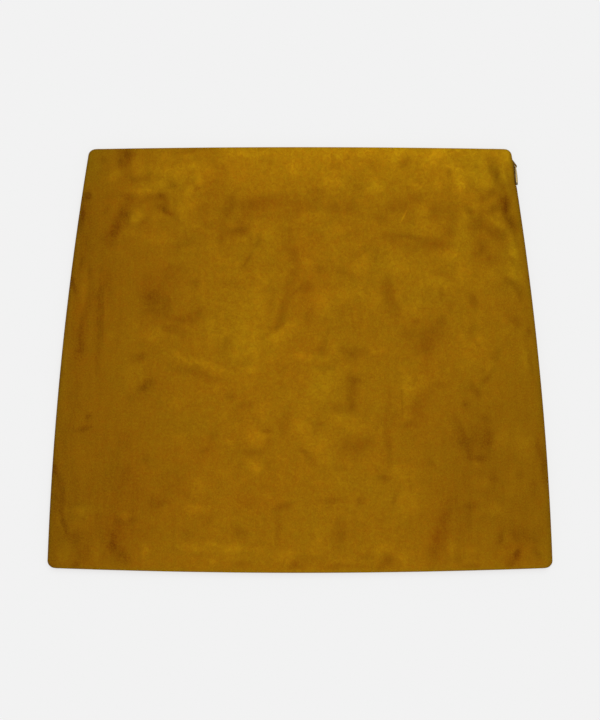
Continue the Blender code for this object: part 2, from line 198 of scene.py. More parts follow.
# Where the nap has been brushed one way or the other. Run and spread are half its length and
# half its width in mm, bend is how far its ends curl towards its left, in mm, tone is below 0
# where it is darker, and red is above 0 where it is redder and below 0 where it is more olive.
FRONT_MARKS = (
    # across, up, run, spread, turn, bend, tone, red
    # waist, at the plain side
    (-152, 176, 10, 7.5, 82, 0, -0.7, 0.48), (-141, 155.5, 12, 2.2, 0, 7, -0.36, 0.08),
    (-185, 141, 5, 4, 60, 0, -0.68, 0.24), (-188.5, 126, 11, 2.6, 83, 0, -0.59, 0.16),
    (-157, 122, 19, 5.5, 64, -2, -0.64, 0.24), (-150, 141, 6, 3.5, -30, 0, -0.41, 0.16),
    (-125, 141, 14, 4, 8, -2, -0.38, 0.24), (-115, 129.5, 10.5, 3.2, -34, 0, -0.7, 0.4),
    (-118, 139, 6, 3.5, -60, 0, -0.46, 0.4), (-110, 152, 6, 3.2, 20, 0, -0.38, 0.24),
    (-135, 121, 6.5, 1.8, 40, 0, -0.35, 0.08), (-93, 182, 19, 2.4, 6, 0, -0.41, 0.24),
    (-104, 171, 12, 2.4, 6, 0, -0.23, 0.08), (-88, 149, 9, 2, 30, 0, -0.23, 0.08),
    (-72, 150, 16, 9, 80, 0, -0.3, 0.16), (-62, 135, 10, 6, 60, 0, -0.46, 0.32),
    (-67, 122, 9, 4, 80, 0, -0.3, 0.24), (-50, 122, 7, 4, 70, 0, -0.34, 0.24),
    (-52, 111, 9.5, 3.6, 6, 0, -0.5, 0.24), (-66, 107, 6, 4, 70, 0, -0.45, 0.16),
    (-34, 136, 26, 6.5, 10, -3, -0.46, 0.32), (-12, 134, 16, 9, 0, 0, -0.34, 0.32),
    (-84, 129, 6, 4.5, 30, 0, -0.34, 0.16), (-79, 118, 5, 4, 0, 0, -0.3, 0.08),
    (-100, 101, 14, 5, 30, 0, -0.28, 0.08), (-160.5, 159.5, 8, 4.6, 50, 0, 0.52, -0.36),
    (-118, 158, 20, 10, -20, 0, 0.14, -0.3), (-141, 125, 6.5, 5, 60, 0, 0.61, -0.4),
    (-88, 160, 13, 3.5, -78, -2, 0.38, -0.24), (-97, 144, 7, 3.6, 60, 0, 0.46, -0.16),
    (-103, 130, 8, 3.4, 100, 0, 0.41, -0.08), (-112, 165, 18, 7, 0, 0, 0.3, -0.16),
    (-130, 150, 16, 5, 12, 0, 0.3, -0.16), (-40, 179, 24, 4, -2, 0, 0.3, 0.16),
    (-5, 167, 7, 5.5, 60, 0, 0.46, 0.08),
    # hip, at the plain side
    (-42, 103, 4, 2.6, 110, 0, -0.45, 0.08), (-45, 88, 12, 1.8, 56, 1.5, -0.38, 0.08),
    (-10, 113, 5, 3.2, 0, 0, -0.36, 0.24), (-8, 94, 12, 5, -58, 0, -0.46, 0.32),
    (-8, 68, 13, 5, 72, 0, -0.45, 0.32), (-16.5, 41, 14, 4, 72, -2, -0.46, 0.24),
    (-21, 28, 7, 2.2, 16, 2, -0.46, 0.16), (-26, 48, 14, 3.4, 84, 0, -0.3, 0.16),
    (-3, 60, 7, 1.5, 45, 0, -0.25, 0.08), (-111, 75, 13, 9, 10, 0, -0.36, 0.16),
    (-125, 51, 15, 10, -50, 0, -0.54, 0.08), (-101, 36, 17, 4.6, 5, 2, -0.48, 0.48),
    (-112, 27, 7, 4.4, 0, 0, -0.41, 0.4), (-87, 43, 5, 3.6, 50, 0, -0.38, 0.24),
    (-90, 66, 7.5, 3.6, 62, 0, -0.36, 0.16), (-60, 66, 14, 3.6, -4, 0, -0.25, 0.08),
    (-139.5, 2, 6.5, 4.2, 20, 0, -0.56, 0.48), (-173.5, 47, 30, 2.8, 89, 0, -0.46, 0.08),
    (-176, 4, 18, 2.6, 90, 0, -0.3, 0.08), (-191, 16, 15, 4.6, 86, 0, -0.41, 0.4),
    (-187, 40, 15, 2.8, 72, 0, -0.36, 0.08), (-197, 65, 8, 2.4, 105, 0, -0.55, 0.32),
    (-190, 81, 7, 2.2, 80, 0, -0.36, 0.08), (-167, 68, 10, 3.4, 92, 0, -0.34, 0.24),
    (-64, 12, 9, 3, 86, 0, -0.36, 0.08), (-70, 60, 40, 20, 0, 0, 0.2, -0.08),
    (-40, 40, 26, 16, 60, 0, 0.3, -0.16), (-39, 12, 13, 4.5, 92, 0, 0.36, -0.08),
    (-150, 20, 20, 8, 80, 0, 0.18, -0.08),
    # waist, at the zip side
    (14, 145, 6.5, 5.5, 0, 0, -0.43, 0.32), (29, 133, 6.5, 6, 0, 0, -0.56, 0.4),
    (44, 133, 8, 6.5, 80, 0, -0.34, 0.32), (10, 136, 13, 5, 0, 0, -0.36, 0.32),
    (64, 170, 9.5, 4.6, -18, 0, -0.43, 0.24), (91.5, 170, 6.5, 4.6, 35, 0, -0.56, 0.16),
    (34, 169, 9, 3.5, -10, 0, -0.28, 0.16), (50, 158, 12, 8, 80, 0, -0.23, 0.16),
    (69, 124, 8.5, 4, -10, 0, -0.43, 0.24), (86, 135, 15, 6, 18, 0, -0.41, 0.32),
    (101, 141, 7, 4, -20, 0, -0.38, 0.24), (119, 130, 9, 7.5, 90, 0, -0.43, 0.24),
    (131, 130, 6, 9, 0, 0, -0.28, 0.16), (80, 106.5, 9, 4.2, 0, 0, -0.45, 0.32),
    (97, 106, 11, 2.8, -12, 0, -0.46, 0.32), (118, 101, 12, 5.4, -10, 0, -0.48, 0.4),
    (129, 111, 6, 4, 50, 0, -0.3, 0.24), (103, 98, 26, 4, -8, 0, -0.2, 0.24),
    (168, 165, 15, 4.4, 106, 2, -0.56, -0.16), (176, 152, 4.5, 3, 80, 0, -0.45, 0.08),
    # The two darkest marks, at (178, 137) and (182.5, 121) beside the zip, run along the soft
    # buckles there and darken the cloth along them.
    (168.5, 146, 5, 4, 60, 0, -0.5, 0.16), (178, 137, 9, 5.4, 98, 0, -1.15, 0.72),
    (182.5, 121, 12, 4.2, 110, 0, -1.05, 0.56), (185, 104, 17, 2.2, 103, 0, 0.34, -0.4),
    (168, 130, 7, 3.2, 22, 0, -0.54, 0.16), (146, 131, 5.5, 3, -48, 0, -0.41, 0.08),
    (155, 119, 10, 6, 8, 0, -0.54, 0.32), (158, 130, 7.5, 3.4, 80, 0, -0.45, 0.24),
    (170, 110, 13, 5.4, -27, 0, -0.61, 0.24), (156, 95, 11, 7, 62, 0, -0.5, 0.32),
    (165, 88, 5, 5, 0, 0, -0.34, 0.24), (66, 149.5, 8, 5, 20, 0, 0.56, -0.16),
    (119, 179.5, 12, 4, 32, 0, 0.56, 0.24), (110, 171, 8, 3, 30, 0, 0.34, 0.08),
    (60, 180, 46, 4, 0, 0, 0.34, 0.16), (138, 155, 11, 5.5, 112, 0, 0.52, -0.16),
    (160, 155, 8, 7, 90, 0, 0.5, -0.32), (150, 166, 12, 8, 0, 0, 0.3, -0.24),
    (154, 134.5, 11, 2.8, 0, -5, 0.45, -0.32), (178.5, 177, 8, 4.4, 102, 0, 0.52, -0.48),
    (177, 160, 15, 2.2, 106, 0, 0.43, -0.32), (106, 131, 8.5, 6, 90, 0, 0.36, -0.08),
    (113, 116, 11, 5, -20, 0, 0.34, -0.08), (140, 108, 22, 6, 84, 0, 0.38, -0.32),
    (172, 119, 9, 3, -30, 0, 0.36, -0.4),
    # hip, at the zip side
    (5, 63, 6.5, 6, 90, 0, -0.5, 0.4), (9, 40, 10, 4.5, 60, 0, -0.3, 0.24),
    (77.5, 56, 16, 6, -80, 0, -0.52, 0.32), (85, 43, 5, 3.4, 90, 0, -0.36, 0.24),
    (122.5, 58, 4.4, 2.6, 80, 0, -0.38, 0.32), (150, 51, 7, 3.4, 112, 0, -0.59, 0.48),
    (108, 50, 8, 1.8, 84, 0, -0.28, 0.16), (131, 46, 7, 4, 80, 0, -0.28, 0.24),
    (100.5, 33, 4.4, 2.8, 0, 0, -0.5, 0.48), (124, 34, 5, 4, 60, 0, -0.43, 0.32),
    (114, 20, 17, 9, 45, 0, -0.46, 0.4), (95, 22, 8, 6, 0, 0, -0.38, 0.24),
    (110, 6, 12, 6, 90, 0, -0.3, 0.24), (188.5, 63, 12, 3.2, -58, -2.5, -0.61, 0.24),
    (187, 33, 7, 4.2, -66, 0, -0.46, 0.24), (197.5, 24, 4.5, 2.6, 90, 0, -0.5, 0.32),
    (46, 33, 10, 1.8, 92, 0, -0.28, 0.16), (52.5, 33, 10, 1.8, 86, 0, -0.3, 0.16),
    (21, 14, 13, 2.6, 68, 0, -0.38, 0.08), (45, 8, 12, 4.6, -6, 0, -0.45, 0.32),
    (36, 40, 8, 4, 60, 0, -0.23, 0.16), (34, 78, 12, 3.6, -30, 0, -0.28, 0.16),
    (18, 79, 5, 4, 0, 0, -0.3, 0.16), (38, 113, 22, 8, 8, 0, -0.2, 0.08),
    (185, 93, 7, 3.4, 104, 0, 0.56, -0.48), (184, 78, 9, 5, 98, 0, 0.5, -0.4),
    (166, 76, 12, 7, 0, 0, 0.25, -0.16), (55, 84, 9, 6.5, 30, 0, 0.36, -0.08),
    (96, 84, 24, 10, 0, 0, 0.3, -0.16), (100, 48, 9, 8, 0, 0, 0.28, -0.08),
    # lower half, at the plain side
    (-135, -23, 8, 4.6, 28, 0, -0.54, 0.08), (-130, -16, 6, 2.6, 50, 0, -0.3, 0.08),
    (-143, -31, 6, 4, 30, 0, -0.3, 0.08), (-88, -13, 19, 4.4, -15, 0, -0.3, 0.08),
    (-183, -50, 4, 3, 40, 0, -0.34, 0.08), (-189, -60, 8, 3, 8, 0, -0.43, 0.08),
    (-61, -32, 5.5, 3.6, 0, 0, -0.43, 0.16), (-46, -39, 6, 3.2, 0, 0, -0.43, 0.16),
    (-54, -47, 8, 5, 60, 0, -0.25, 0.08), (-12, -48, 17, 5, 80, 0, -0.32, 0.16),
    (-28, -62, 5, 2.8, 0, 0, -0.38, 0.16), (-26, -71, 4, 4.6, 0, 0, -0.36, 0.16),
    (-40, -80, 13, 3.2, 0, 0, -0.45, 0.24), (-28, -90, 5, 4, 80, 0, -0.41, 0.24),
    (-76, -68, 5.5, 3.2, 70, 0, -0.36, 0.08), (-83, -78, 5.5, 2.8, 20, 0, -0.36, 0.08),
    (-133, -85, 6.5, 2.6, 92, 0, -0.32, 0.08), (-150, -99, 6, 4, 80, 0, -0.3, 0.16),
    (-125, -125, 8, 5, 20, 0, -0.34, 0.08), (-112, -105, 20, 10, 60, 0, -0.2, 0.08),
    (-152, -116, 32, 15, 92, 0, -0.22, 0.24), (-163, -162, 5, 4.4, 60, 0, -0.81, 0.4),
    (-154, -168, 11, 6, -48, 0, -0.42, 0.32), (-160.5, -146, 13, 5, 84, 0, -0.3, 0.24),
    (-150, -142, 7, 3, 20, 0, -0.32, 0.24), (-205, -142, 11, 2.8, 106, 0, -0.5, 0.16),
    (-212, -97, 6, 2.4, 92, 0, -0.52, 0.24), (-209, -118, 24, 4.4, 97, 0, -0.36, 0.16),
    (-196, -178, 3.6, 2.4, 30, 0, -0.5, 0.24), (-192, -151, 8, 8, 0, 0, -0.28, 0.16),
    (-98, -150, 6, 4.4, 0, 0, -0.32, 0.16), (-80, -140, 5, 3.6, 60, 0, -0.28, 0.08),
    (-52, -150, 8, 6, -20, 0, -0.43, 0.32), (-45, -124, 10, 5, 0, 0, -0.25, 0.24),
    (-13, -127, 8, 3.6, 14, 0, -0.45, 0.32), (-18.5, -146, 14, 3.2, 92, 0, -0.46, 0.24),
    (-4, -177, 7, 3.6, 14, 0, -0.52, 0.4), (-50, -177, 9, 3, 0, 0, -0.36, 0.32),
    (-82, -3, 22, 3.6, -16, -2.5, 0.38, -0.16), (-46, -8, 12, 4, 20, 0, 0.3, -0.08),
    (-40, -66, 8, 6, -60, 0, 0.52, 0.16), (-38, -93, 6.5, 5.5, 0, 0, 0.58, 0.16),
    (-31, -45, 9, 5, 70, 0, 0.34, 0.08), (-188, -131, 10, 7, 0, 0, 0.5, -0.56),
    (-188, -85, 18, 8, 90, 0, 0.2, -0.24), (-12, -170, 8.5, 5, 14, 0, 0.46, 0.08),
    (-135, -168, 9, 5, 90, 0, 0.45, -0.08), (-77, -174, 4, 3.4, 0, 0, 0.38, 0.08),
    (-204, -167, 9, 6.5, 90, 0, 0.36, -0.32), (-176, -166, 10, 5, 90, 0, 0.28, -0.16),
    (-146, -12, 14, 10, 80, 0, 0.23, -0.08),
    # lower half, at the zip side
    (44.5, -26, 19, 5, 92, 0, -0.54, 0.4), (49, -17, 5, 3.6, 0, 0, -0.45, 0.32),
    (40, -41, 16, 4.6, -4, 0, -0.34, 0.4), (16, -57, 7, 3.2, 36, 0, -0.36, 0.24),
    (50, -71, 15, 7, 6, 0, -0.45, 0.4), (47, -78, 7, 4, 0, 0, -0.28, 0.32),
    (76.5, -62, 30, 3.8, 91, 0, -0.34, 0.32), (105, -40, 15, 8, 60, 0, -0.36, 0.3),
    (95, -57, 6, 3.6, 22, 0, -0.45, 0.32), (121, -21, 9, 3.4, -16, 0, -0.46, 0.4),
    (153, -26, 7, 4.2, -48, 0, -0.54, 0.4), (162, -16, 5, 2.8, 50, 0, -0.43, 0.32),
    (143, -38, 4.4, 3.4, 30, 0, -0.46, 0.4), (140.5, -68, 20, 4.8, -70, 0, -0.44, 0.34),
    (163, -67, 15, 4.8, 93, 0, -0.34, 0.3), (152, -85, 10, 3, 0, 0, -0.34, 0.36),
    (160.5, -50, 4.4, 4, 0, 0, -0.34, 0.24), (152, -70, 14, 11, 90, 0, -0.38, 0.3),
    (10, -88, 6.5, 5, -40, 0, -0.32, 0.24), (35, -94, 5, 3.4, 0, 0, -0.32, 0.24),
    (72, -103, 6, 3.4, 0, 0, -0.43, 0.32), (168, -102, 6, 4.2, -30, 0, -0.46, 0.32),
    (191, -100, 4.4, 2.6, 90, 0, -0.32, 0.16), (114, -89, 6, 3.4, -62, 0, -0.32, 0.24),
    (26, -122, 11, 2.8, 6, 0, -0.48, 0.4), (53.5, -122, 6, 3.2, 40, 0, -0.46, 0.4),
    (82, -121, 8, 2.4, 86, 0, -0.32, 0.16), (148, -127, 7, 4.4, 16, 0, -0.63, 0.4),
    (147, -139, 10, 3, 88, 0, -0.28, 0.24), (122, -149, 28, 6.4, 82, -5, -0.42, 0.5),
    (118.5, -153, 7, 3.6, 84, 0, -0.34, 0.4), (34, -151, 14, 6.5, 88, 0, -0.41, 0.32),
    (188, -169, 7.5, 4.2, 62, 0, -0.72, 0.56), (180, -162, 3.6, 3, 0, 0, -0.45, 0.32),
    (183, -178, 4.6, 2.4, 20, 0, -0.54, 0.4), (173.5, -156, 10, 2.4, 80, 0, -0.43, 0.32),
    (205, -168, 6, 3, -62, 0, -0.38, 0.24), (75.5, -176, 7, 4.2, 44, 0, -0.63, 0.4),
    (57, -170, 3.8, 3.2, 0, 0, -0.36, 0.24), (40, -179, 22, 2.6, 0, 0, -0.3, 0.32),
    (148, -179, 8, 2.2, 8, 0, -0.36, 0.24), (210, -90, 21, 3.8, -80, 0, -0.5, 0.32),
    (203, -112, 9, 5, 90, 0, -0.28, 0.16), (19, -20, 18, 12, 70, 0, 0.36, -0.16),
    (93, -28, 19, 5, 96, 0, 0.42, -0.24), (101, -20, 11, 8, 0, 0, 0.26, -0.08),
    (90, -99, 13, 7.5, 0, 0, 0.34, -0.08), (97, -121, 15, 11, 0, 0, 0.3, -0.08),
    (165, -7, 7, 4.4, 60, 0, 0.45, -0.16), (176, -66, 12, 5, 90, 0, 0.28, -0.08),
    (192, -70, 13, 9, 90, 0, 0.3, -0.24), (131.5, -162, 17, 3.8, 86, -2, 0.43, -0.16),
    # elsewhere on the front
    (-122, 58, 20, 12, -35, 0, -0.16, 0.1), (-50, 130, 20, 11, 0, 0, -0.18, 0.1),
    (104, 25, 20, 12, 45, 0, -0.14, 0.1), (53, -74, 18, 9, 0, 0, -0.12, 0.1),
    (-159, 117, 13, 6, 62, 0, -0.14, 0.08), (-55, 113, 8, 2.6, 10, 0, -0.3, 0.1),
    (-36.5, 101.5, 4, 2.2, 80, 0, -0.42, 0.1), (155.5, 92.5, 7, 2.6, 34, 0, -0.34, 0.1),
    (-103, 3.2, 8, 3, -22, 0, 0.36, -0.1), (-98, -9.5, 11, 3.4, -14, 0, -0.26, 0.05),
    (194.6, 2, 16, 2.2, 98, 0, 0.36, -0.1), (45.5, -30, 9, 4.6, 88, 0, -0.12, 0.1),
)

# Softer straight marks, which leave the redness as it is.
FRONT_SMUDGES = (
    # across, up, run, spread, turn, tone
    (-171, 173, 3.5, 2.5, 80, -0.35), (-168, 130, 7, 2.6, 52, -0.28), (-117, 176, 5, 2.4, 35, 0.41),
    (-140, 168, 8, 5, 90, 0.23), (-126, 105, 13, 6, 0, 0.25), (-32, 114, 12, 8, 0, 0.34),
    (-182.5, 75, 6, 1.6, 75, -0.28), (-188.5, 56, 22, 3.4, 84, 0.34), (-52, 12, 13, 6, 90, 0.25),
    (-10, 24, 13, 5, 48, 0.32), (129.5, 163.5, 3.6, 2.8, 100, -0.46), (160, 141, 6, 3, 10, -0.38),
    (26, 155, 9.5, 6, 0, 0.41), (62, 157, 8, 2, 15, 0.3), (129, 170.5, 6, 2.6, 10, 0.41),
    (119, 153, 7, 4.5, 60, 0.34), (101, 151, 7, 4, 0, 0.28), (54, 97, 16, 1.7, 34, -0.23),
    (20, 50, 12, 9, 80, 0.41), (39, 57, 8, 7, 0, 0.32), (64, 53, 8, 12, 0, 0.28),
    (28, 9, 7, 5, 60, 0.32), (150, 12, 20, 12, 80, 0.23), (-62, -72, 3.5, 3, 0, 0.3),
    (-90, -130, 9.5, 5, 0, 0.36), (-90, -108, 9, 8, 0, 0.23), (-78, -163, 28, 4.6, -4, 0.38),
    (-57, -163, 10, 3.4, -6, 0.28), (15, -74, 11, 9, 0, 0.32), (46, -56, 16, 6, 0, 0.32),
    (156, -106, 11, 6, 0, 0.36), (169, -130, 8, 5.4, 0, 0.38), (147, -170, 10, 7, 0, 0.28),
    (14, -162, 8, 4.6, 60, 0.41), (74, -163, 9.5, 4, 14, 0.45), (90, -174, 8, 4.4, 90, 0.36),
    (112, -172, 8, 7, 90, 0.23), (-80, 178, 12, 7, 0, -0.38), (-70, 167, 8, 5, -40, -0.3),
    (-28, 174.5, 9, 5, 0, -0.38), (-61, 171, 4, 3.5, 0, -0.28), (-148, 178, 8, 5, 70, -0.36),
    (-91, 163, 4, 4, 0, -0.22), (-113, 154, 7, 4, -30, -0.28), (-120, 131, 7, 3, -25, -0.3),
    (-163, 143, 6, 5, 0, -0.18), (-148, 125, 7, 4, 80, -0.28), (-166, 104, 9, 6, 80, -0.34),
    (-186, 98, 26, 6, 80, -0.2), (-187, 125, 16, 4, 82, -0.26), (-46, 117, 9, 5, 80, -0.34),
    (-66, 113, 5, 5, 0, -0.28), (-28, 118, 7, 7, 0, -0.18), (-130, 71, 6, 5, 0, -0.2),
    (-93, 67, 6, 5, 0, -0.4), (-116, 64, 8, 6, 0, -0.15), (-132, 46, 10, 7, 70, -0.3),
    (-27, 61, 5, 4, 0, -0.25), (-102, 23, 5, 4, 0, -0.24), (-131, -24, 8, 6, 60, -0.34),
    (-150, -70, 10, 8, 0, -0.15), (-98, -110, 9, 7, 90, -0.22), (-125, -128, 12, 9, 0, -0.12),
    (-190, -127, 9, 4, 0, -0.34), (-161, -155, 10, 6, 0, -0.38), (-157, -174, 10, 6, -30, -0.38),
    (-188, -168, 9, 6, 90, -0.2), (-80, -165, 9, 3.5, 0, -0.26), (-46, -112, 6, 5, 0, -0.18),
    (-20, -133, 9, 4, 80, -0.2), (-182, 45, 18, 6, 75, -0.16), (-90, 50, 8, 6, 90, -0.12),
    (-96, 131, 9, 6, 80, 0.45), (-96, 118, 5, 4, 0, 0.25), (-133, 145, 14, 3, 0, 0.3),
    (-148, 111, 7, 4, 0, 0.35), (-125, 124, 5, 3, 0, 0.3), (-23, 149, 6, 3, 0, 0.25),
    (-18, 135, 12, 6, 0, 0.4), (-50, 127, 5, 4, 90, 0.22), (-43, 103, 5, 3.5, 0, 0.35),
    (-22, 103, 7, 6, 0, 0.2), (-30, 93, 8, 6, 0, 0.18), (-35, 74, 8, 9, 0, 0.24),
    (-21, 72, 6, 4, 0, 0.3), (-75, 97, 7, 5, 0, 0.18), (-68, 88, 9, 6, 0, 0.22),
    (-55, 83, 10, 3, 10, 0.25), (-155, 93, 6, 6, 0, 0.2), (-128, 21, 12, 7, 0, 0.36),
    (-166, 17, 9, 4.5, 85, 0.34), (-188, 17, 5, 4, 90, 0.2), (-141, 31, 5, 3, -45, 0.26),
    (-78, 22, 14, 4, 90, 0.34), (-68, 25, 12, 4, 90, 0.28), (-19, 22, 12, 6, 50, 0.42),
    (-47, 7, 13, 4, 0, 0.34), (-25, 2, 7, 4, 0, 0.22), (-2, 3, 6, 4, 0, 0.32),
    (-40, -10, 5, 4, 90, 0.22), (-49, -20, 6, 6, 0, 0.24), (-78, -10, 9, 4, -20, 0.25),
    (-70, -28, 8, 4, 90, 0.18), (-68, -47, 8, 6, 90, 0.22), (-53, -48, 5, 5, 0, 0.15),
    (-10, -36, 13, 5, 60, 0.3), (-3, -60, 10, 6, -60, 0.32), (-30, -68, 6, 4, 30, 0.3),
    (-105, -38, 8, 6, 0, 0.18), (-104, -68, 9, 5, 0, 0.2), (-66, -99, 6, 6, 0, 0.25),
    (-32, -91, 4, 4, 0, 0.2), (-20, -84, 6, 3, -40, 0.15), (-152, -128, 14, 5, 90, 0.2),
    (-152, -135, 8, 4, 0, 0.28), (-205, -134, 6, 3.5, 70, 0.35), (-209, -140, 7, 2.5, 100, 0.25),
    (-192, -145, 8, 6, 0, 0.3), (-98, -163, 8, 5, 0, 0.2), (-58, -172, 9, 5, 0, 0.2),
    (-32, -166, 6, 5, 0, 0.2), (-50, -146, 9, 3, -20, 0.2), (45, 179, 8, 5, 10, -0.42),
    (70, 180, 6, 3.5, 0, -0.34), (73, 152, 5, 4, 0, -0.22), (133, 173, 5, 4, 0, -0.32),
    (147, 170, 8, 5, -20, -0.36), (134, 160, 5, 4, 0, -0.2), (167, 164, 10, 5, -60, -0.38),
    (181, 150, 12, 6, 80, -0.4), (157, 148, 8, 5, 0, -0.18), (146, 129, 5, 4, 0, -0.35),
    (100, 132, 10, 6, 0, -0.15), (135, 113, 12, 8, 90, -0.22), (152, 112, 8, 6, 0, -0.18),
    (186, 118, 5, 4, 0, -0.25), (95, 91, 6, 5, 0, -0.28), (108, 84, 8, 6, 0, -0.16),
    (165, 85, 8, 6, 0, -0.2), (181, 70, 5, 5, 0, -0.3), (185, 42, 5, 5, 0, -0.2),
    (150, 24, 10, 5, 75, -0.4), (170, 2, 8, 4, 70, -0.26), (165, -9, 7, 4, 0, -0.26),
    (45, 3, 6, 5, 0, -0.28), (22, -7, 8, 4, 0, -0.4), (62, 0, 6, 3, 0, -0.15),
    (92, -21, 5, 4, 0, -0.26), (96, -38, 8, 4.5, 80, -0.36), (110, -26, 7, 4, 0, -0.24),
    (82, -52, 12, 4.5, 88, -0.26), (53, -52, 6, 5, 0, -0.22), (68, -54, 7, 4, 0, -0.16),
    (132, -71, 8, 6, 0, -0.2), (96, -67, 8, 7, 0, -0.12), (159, -68, 10, 3.5, 80, -0.25),
    (160, -85, 6, 5, 0, -0.18), (45, -85, 6, 4, 0, -0.24), (5, -80, 8, 4, 0, -0.15),
    (148, -105, 8, 8, 0, -0.15), (50, -148, 9, 8, 0, -0.14), (115, -171, 11, 6, 85, -0.5),
    (134, -153, 9, 6, 70, -0.4), (136, -171, 8, 6, 0, -0.3), (150, -171, 8, 4, 0, -0.25),
    (135, -132, 9, 5, 90, -0.2), (190, -151, 12, 8, -40, -0.46), (205, -152, 10, 6, 90, -0.32),
    (170, -158, 12, 4, 85, -0.3), (183, -174, 8, 5, 0, -0.34), (82, -176, 8, 5, 0, -0.25),
    (12, -172, 10, 6, 0, -0.15), (30, 113, 9, 6, 0, 0.5), (28, 103, 6, 5, 90, 0.3),
    (48, 117, 12, 4, 0, 0.26), (25, 135, 5, 4, -40, 0.3), (5, 124, 5, 5, 0, 0.28),
    (17, 126, 4, 4, 0, 0.28), (3, 137, 5, 5, 0, 0.18), (45, 166, 4, 4, 0, 0.22),
    (37, 153, 4, 4, 0, 0.22), (110, 108, 9, 5, 0, 0.26), (103, 115, 8, 4, 0, 0.15),
    (130, 92, 9, 6, 0, 0.45), (150, 92, 9, 7, 90, 0.26), (142, 78, 12, 6, 90, 0.32),
    (125, 65, 7, 4.5, 0, 0.42), (112, 68, 10, 6, 0, 0.28), (157, 64, 6, 3.5, 0, 0.3),
    (155, 131, 4, 3.5, 0, 0.32), (163, 120, 5, 4, 90, 0.25), (182, 126, 4, 4, 0, 0.32),
    (181, 104, 4, 4, 0, 0.38), (184, 94, 4.5, 3.5, 90, 0.28), (190, 70, 7, 4, 80, 0.32),
    (187, 57, 4, 4, 0, 0.2), (53, 60, 6, 5, 60, 0.32), (82, 55, 5, 4, 0, 0.3),
    (87, 77, 7, 5, 90, 0.2), (50, 80, 6, 5, 90, 0.2), (5, 84, 5, 5, 0, 0.2),
    (28, 90, 12, 10, 0, 0.12), (103, 36, 6, 4, 0, 0.2), (23, 17, 6, 4, 90, 0.2),
    (64, 11, 7, 6, 90, 0.15), (8, 2, 11, 4, 0, 0.34), (41, -9, 4.5, 4, 0, 0.3),
    (32, -49, 5, 4.5, 0, 0.3), (3, -47, 9, 6, 90, 0.2), (5, -61, 9, 6, 0, 0.3),
    (50, -69, 8, 5, 0, 0.24), (18, -88, 9, 4.5, 0, 0.28), (35, -103, 8, 7, 0, 0.22),
    (65, -85, 6, 4, 90, 0.15), (170, -70, 7, 4, 90, 0.2), (154, -89, 4, 4, 0, 0.3),
    (152, -78, 5, 4, 90, 0.15), (186, -106, 13, 11, 90, 0.2), (196, -85, 8, 6, 0, 0.12),
    (153, -127, 10, 7, 0, 0.2), (90, -133, 8, 6, 0, 0.15), (163, -150, 12, 7, 90, 0.12),
    (17, -149, 5, 4, 90, 0.2), (40, -175, 8, 4, 0, 0.15), (165, -32, 8, 6, 90, 0.15),
    (197, -8, 12, 4, 90, 0.15), (-146.5, 162, 8, 2, 100, -0.26), (-132.5, 159, 6, 2, 70, -0.26),
    (-141, 166, 9, 4, 90, 0.22), (-87, 157, 9, 2.6, 66, 0.24), (-92.5, 168, 5, 2.2, -10, 0.22),
    (-86.5, 149.5, 6, 1.8, 36, -0.3), (133, 166, 8, 2.4, -45, 0.28), (140.5, 154, 7, 3.2, 90, 0.28),
    (169, 156, 7, 2, 86, -0.34), (166.5, 145, 4, 2.6, 0, -0.3), (183.6, 85.5, 3.6, 2, 90, -0.36),
    (65.5, 87.5, 7, 1.6, 72, -0.26), (-130, -19.5, 7, 2.8, 42, -0.28),
    (-187, -59.5, 5.5, 1.8, 4, -0.28), (-183.5, -49.5, 3.4, 2, 60, -0.26),
    (92.5, -48.5, 4.5, 2.4, 78, 0.34), (172.4, 3.2, 6, 2, 84, -0.3),
    (165.5, -11.5, 6, 1.8, 48, -0.26), (154, 13.5, 6, 1.8, -50, -0.28),
    (181.5, 13.5, 4, 2, -60, -0.22), (200.6, -4, 12, 1.9, 97, -0.34), (17.5, 7, 5, 2, -72, -0.28),
    (67.5, 7.5, 5, 3, 0, 0.26), (45.5, 5, 3.6, 1.8, 0, -0.36), (38.7, -73, 5, 2.4, 80, -0.3),
    (2, -79, 4, 2, 0, -0.34), (76, -75, 9, 2.4, 88, -0.2), (78.5, -37, 13, 1.7, 90, -0.22),
)

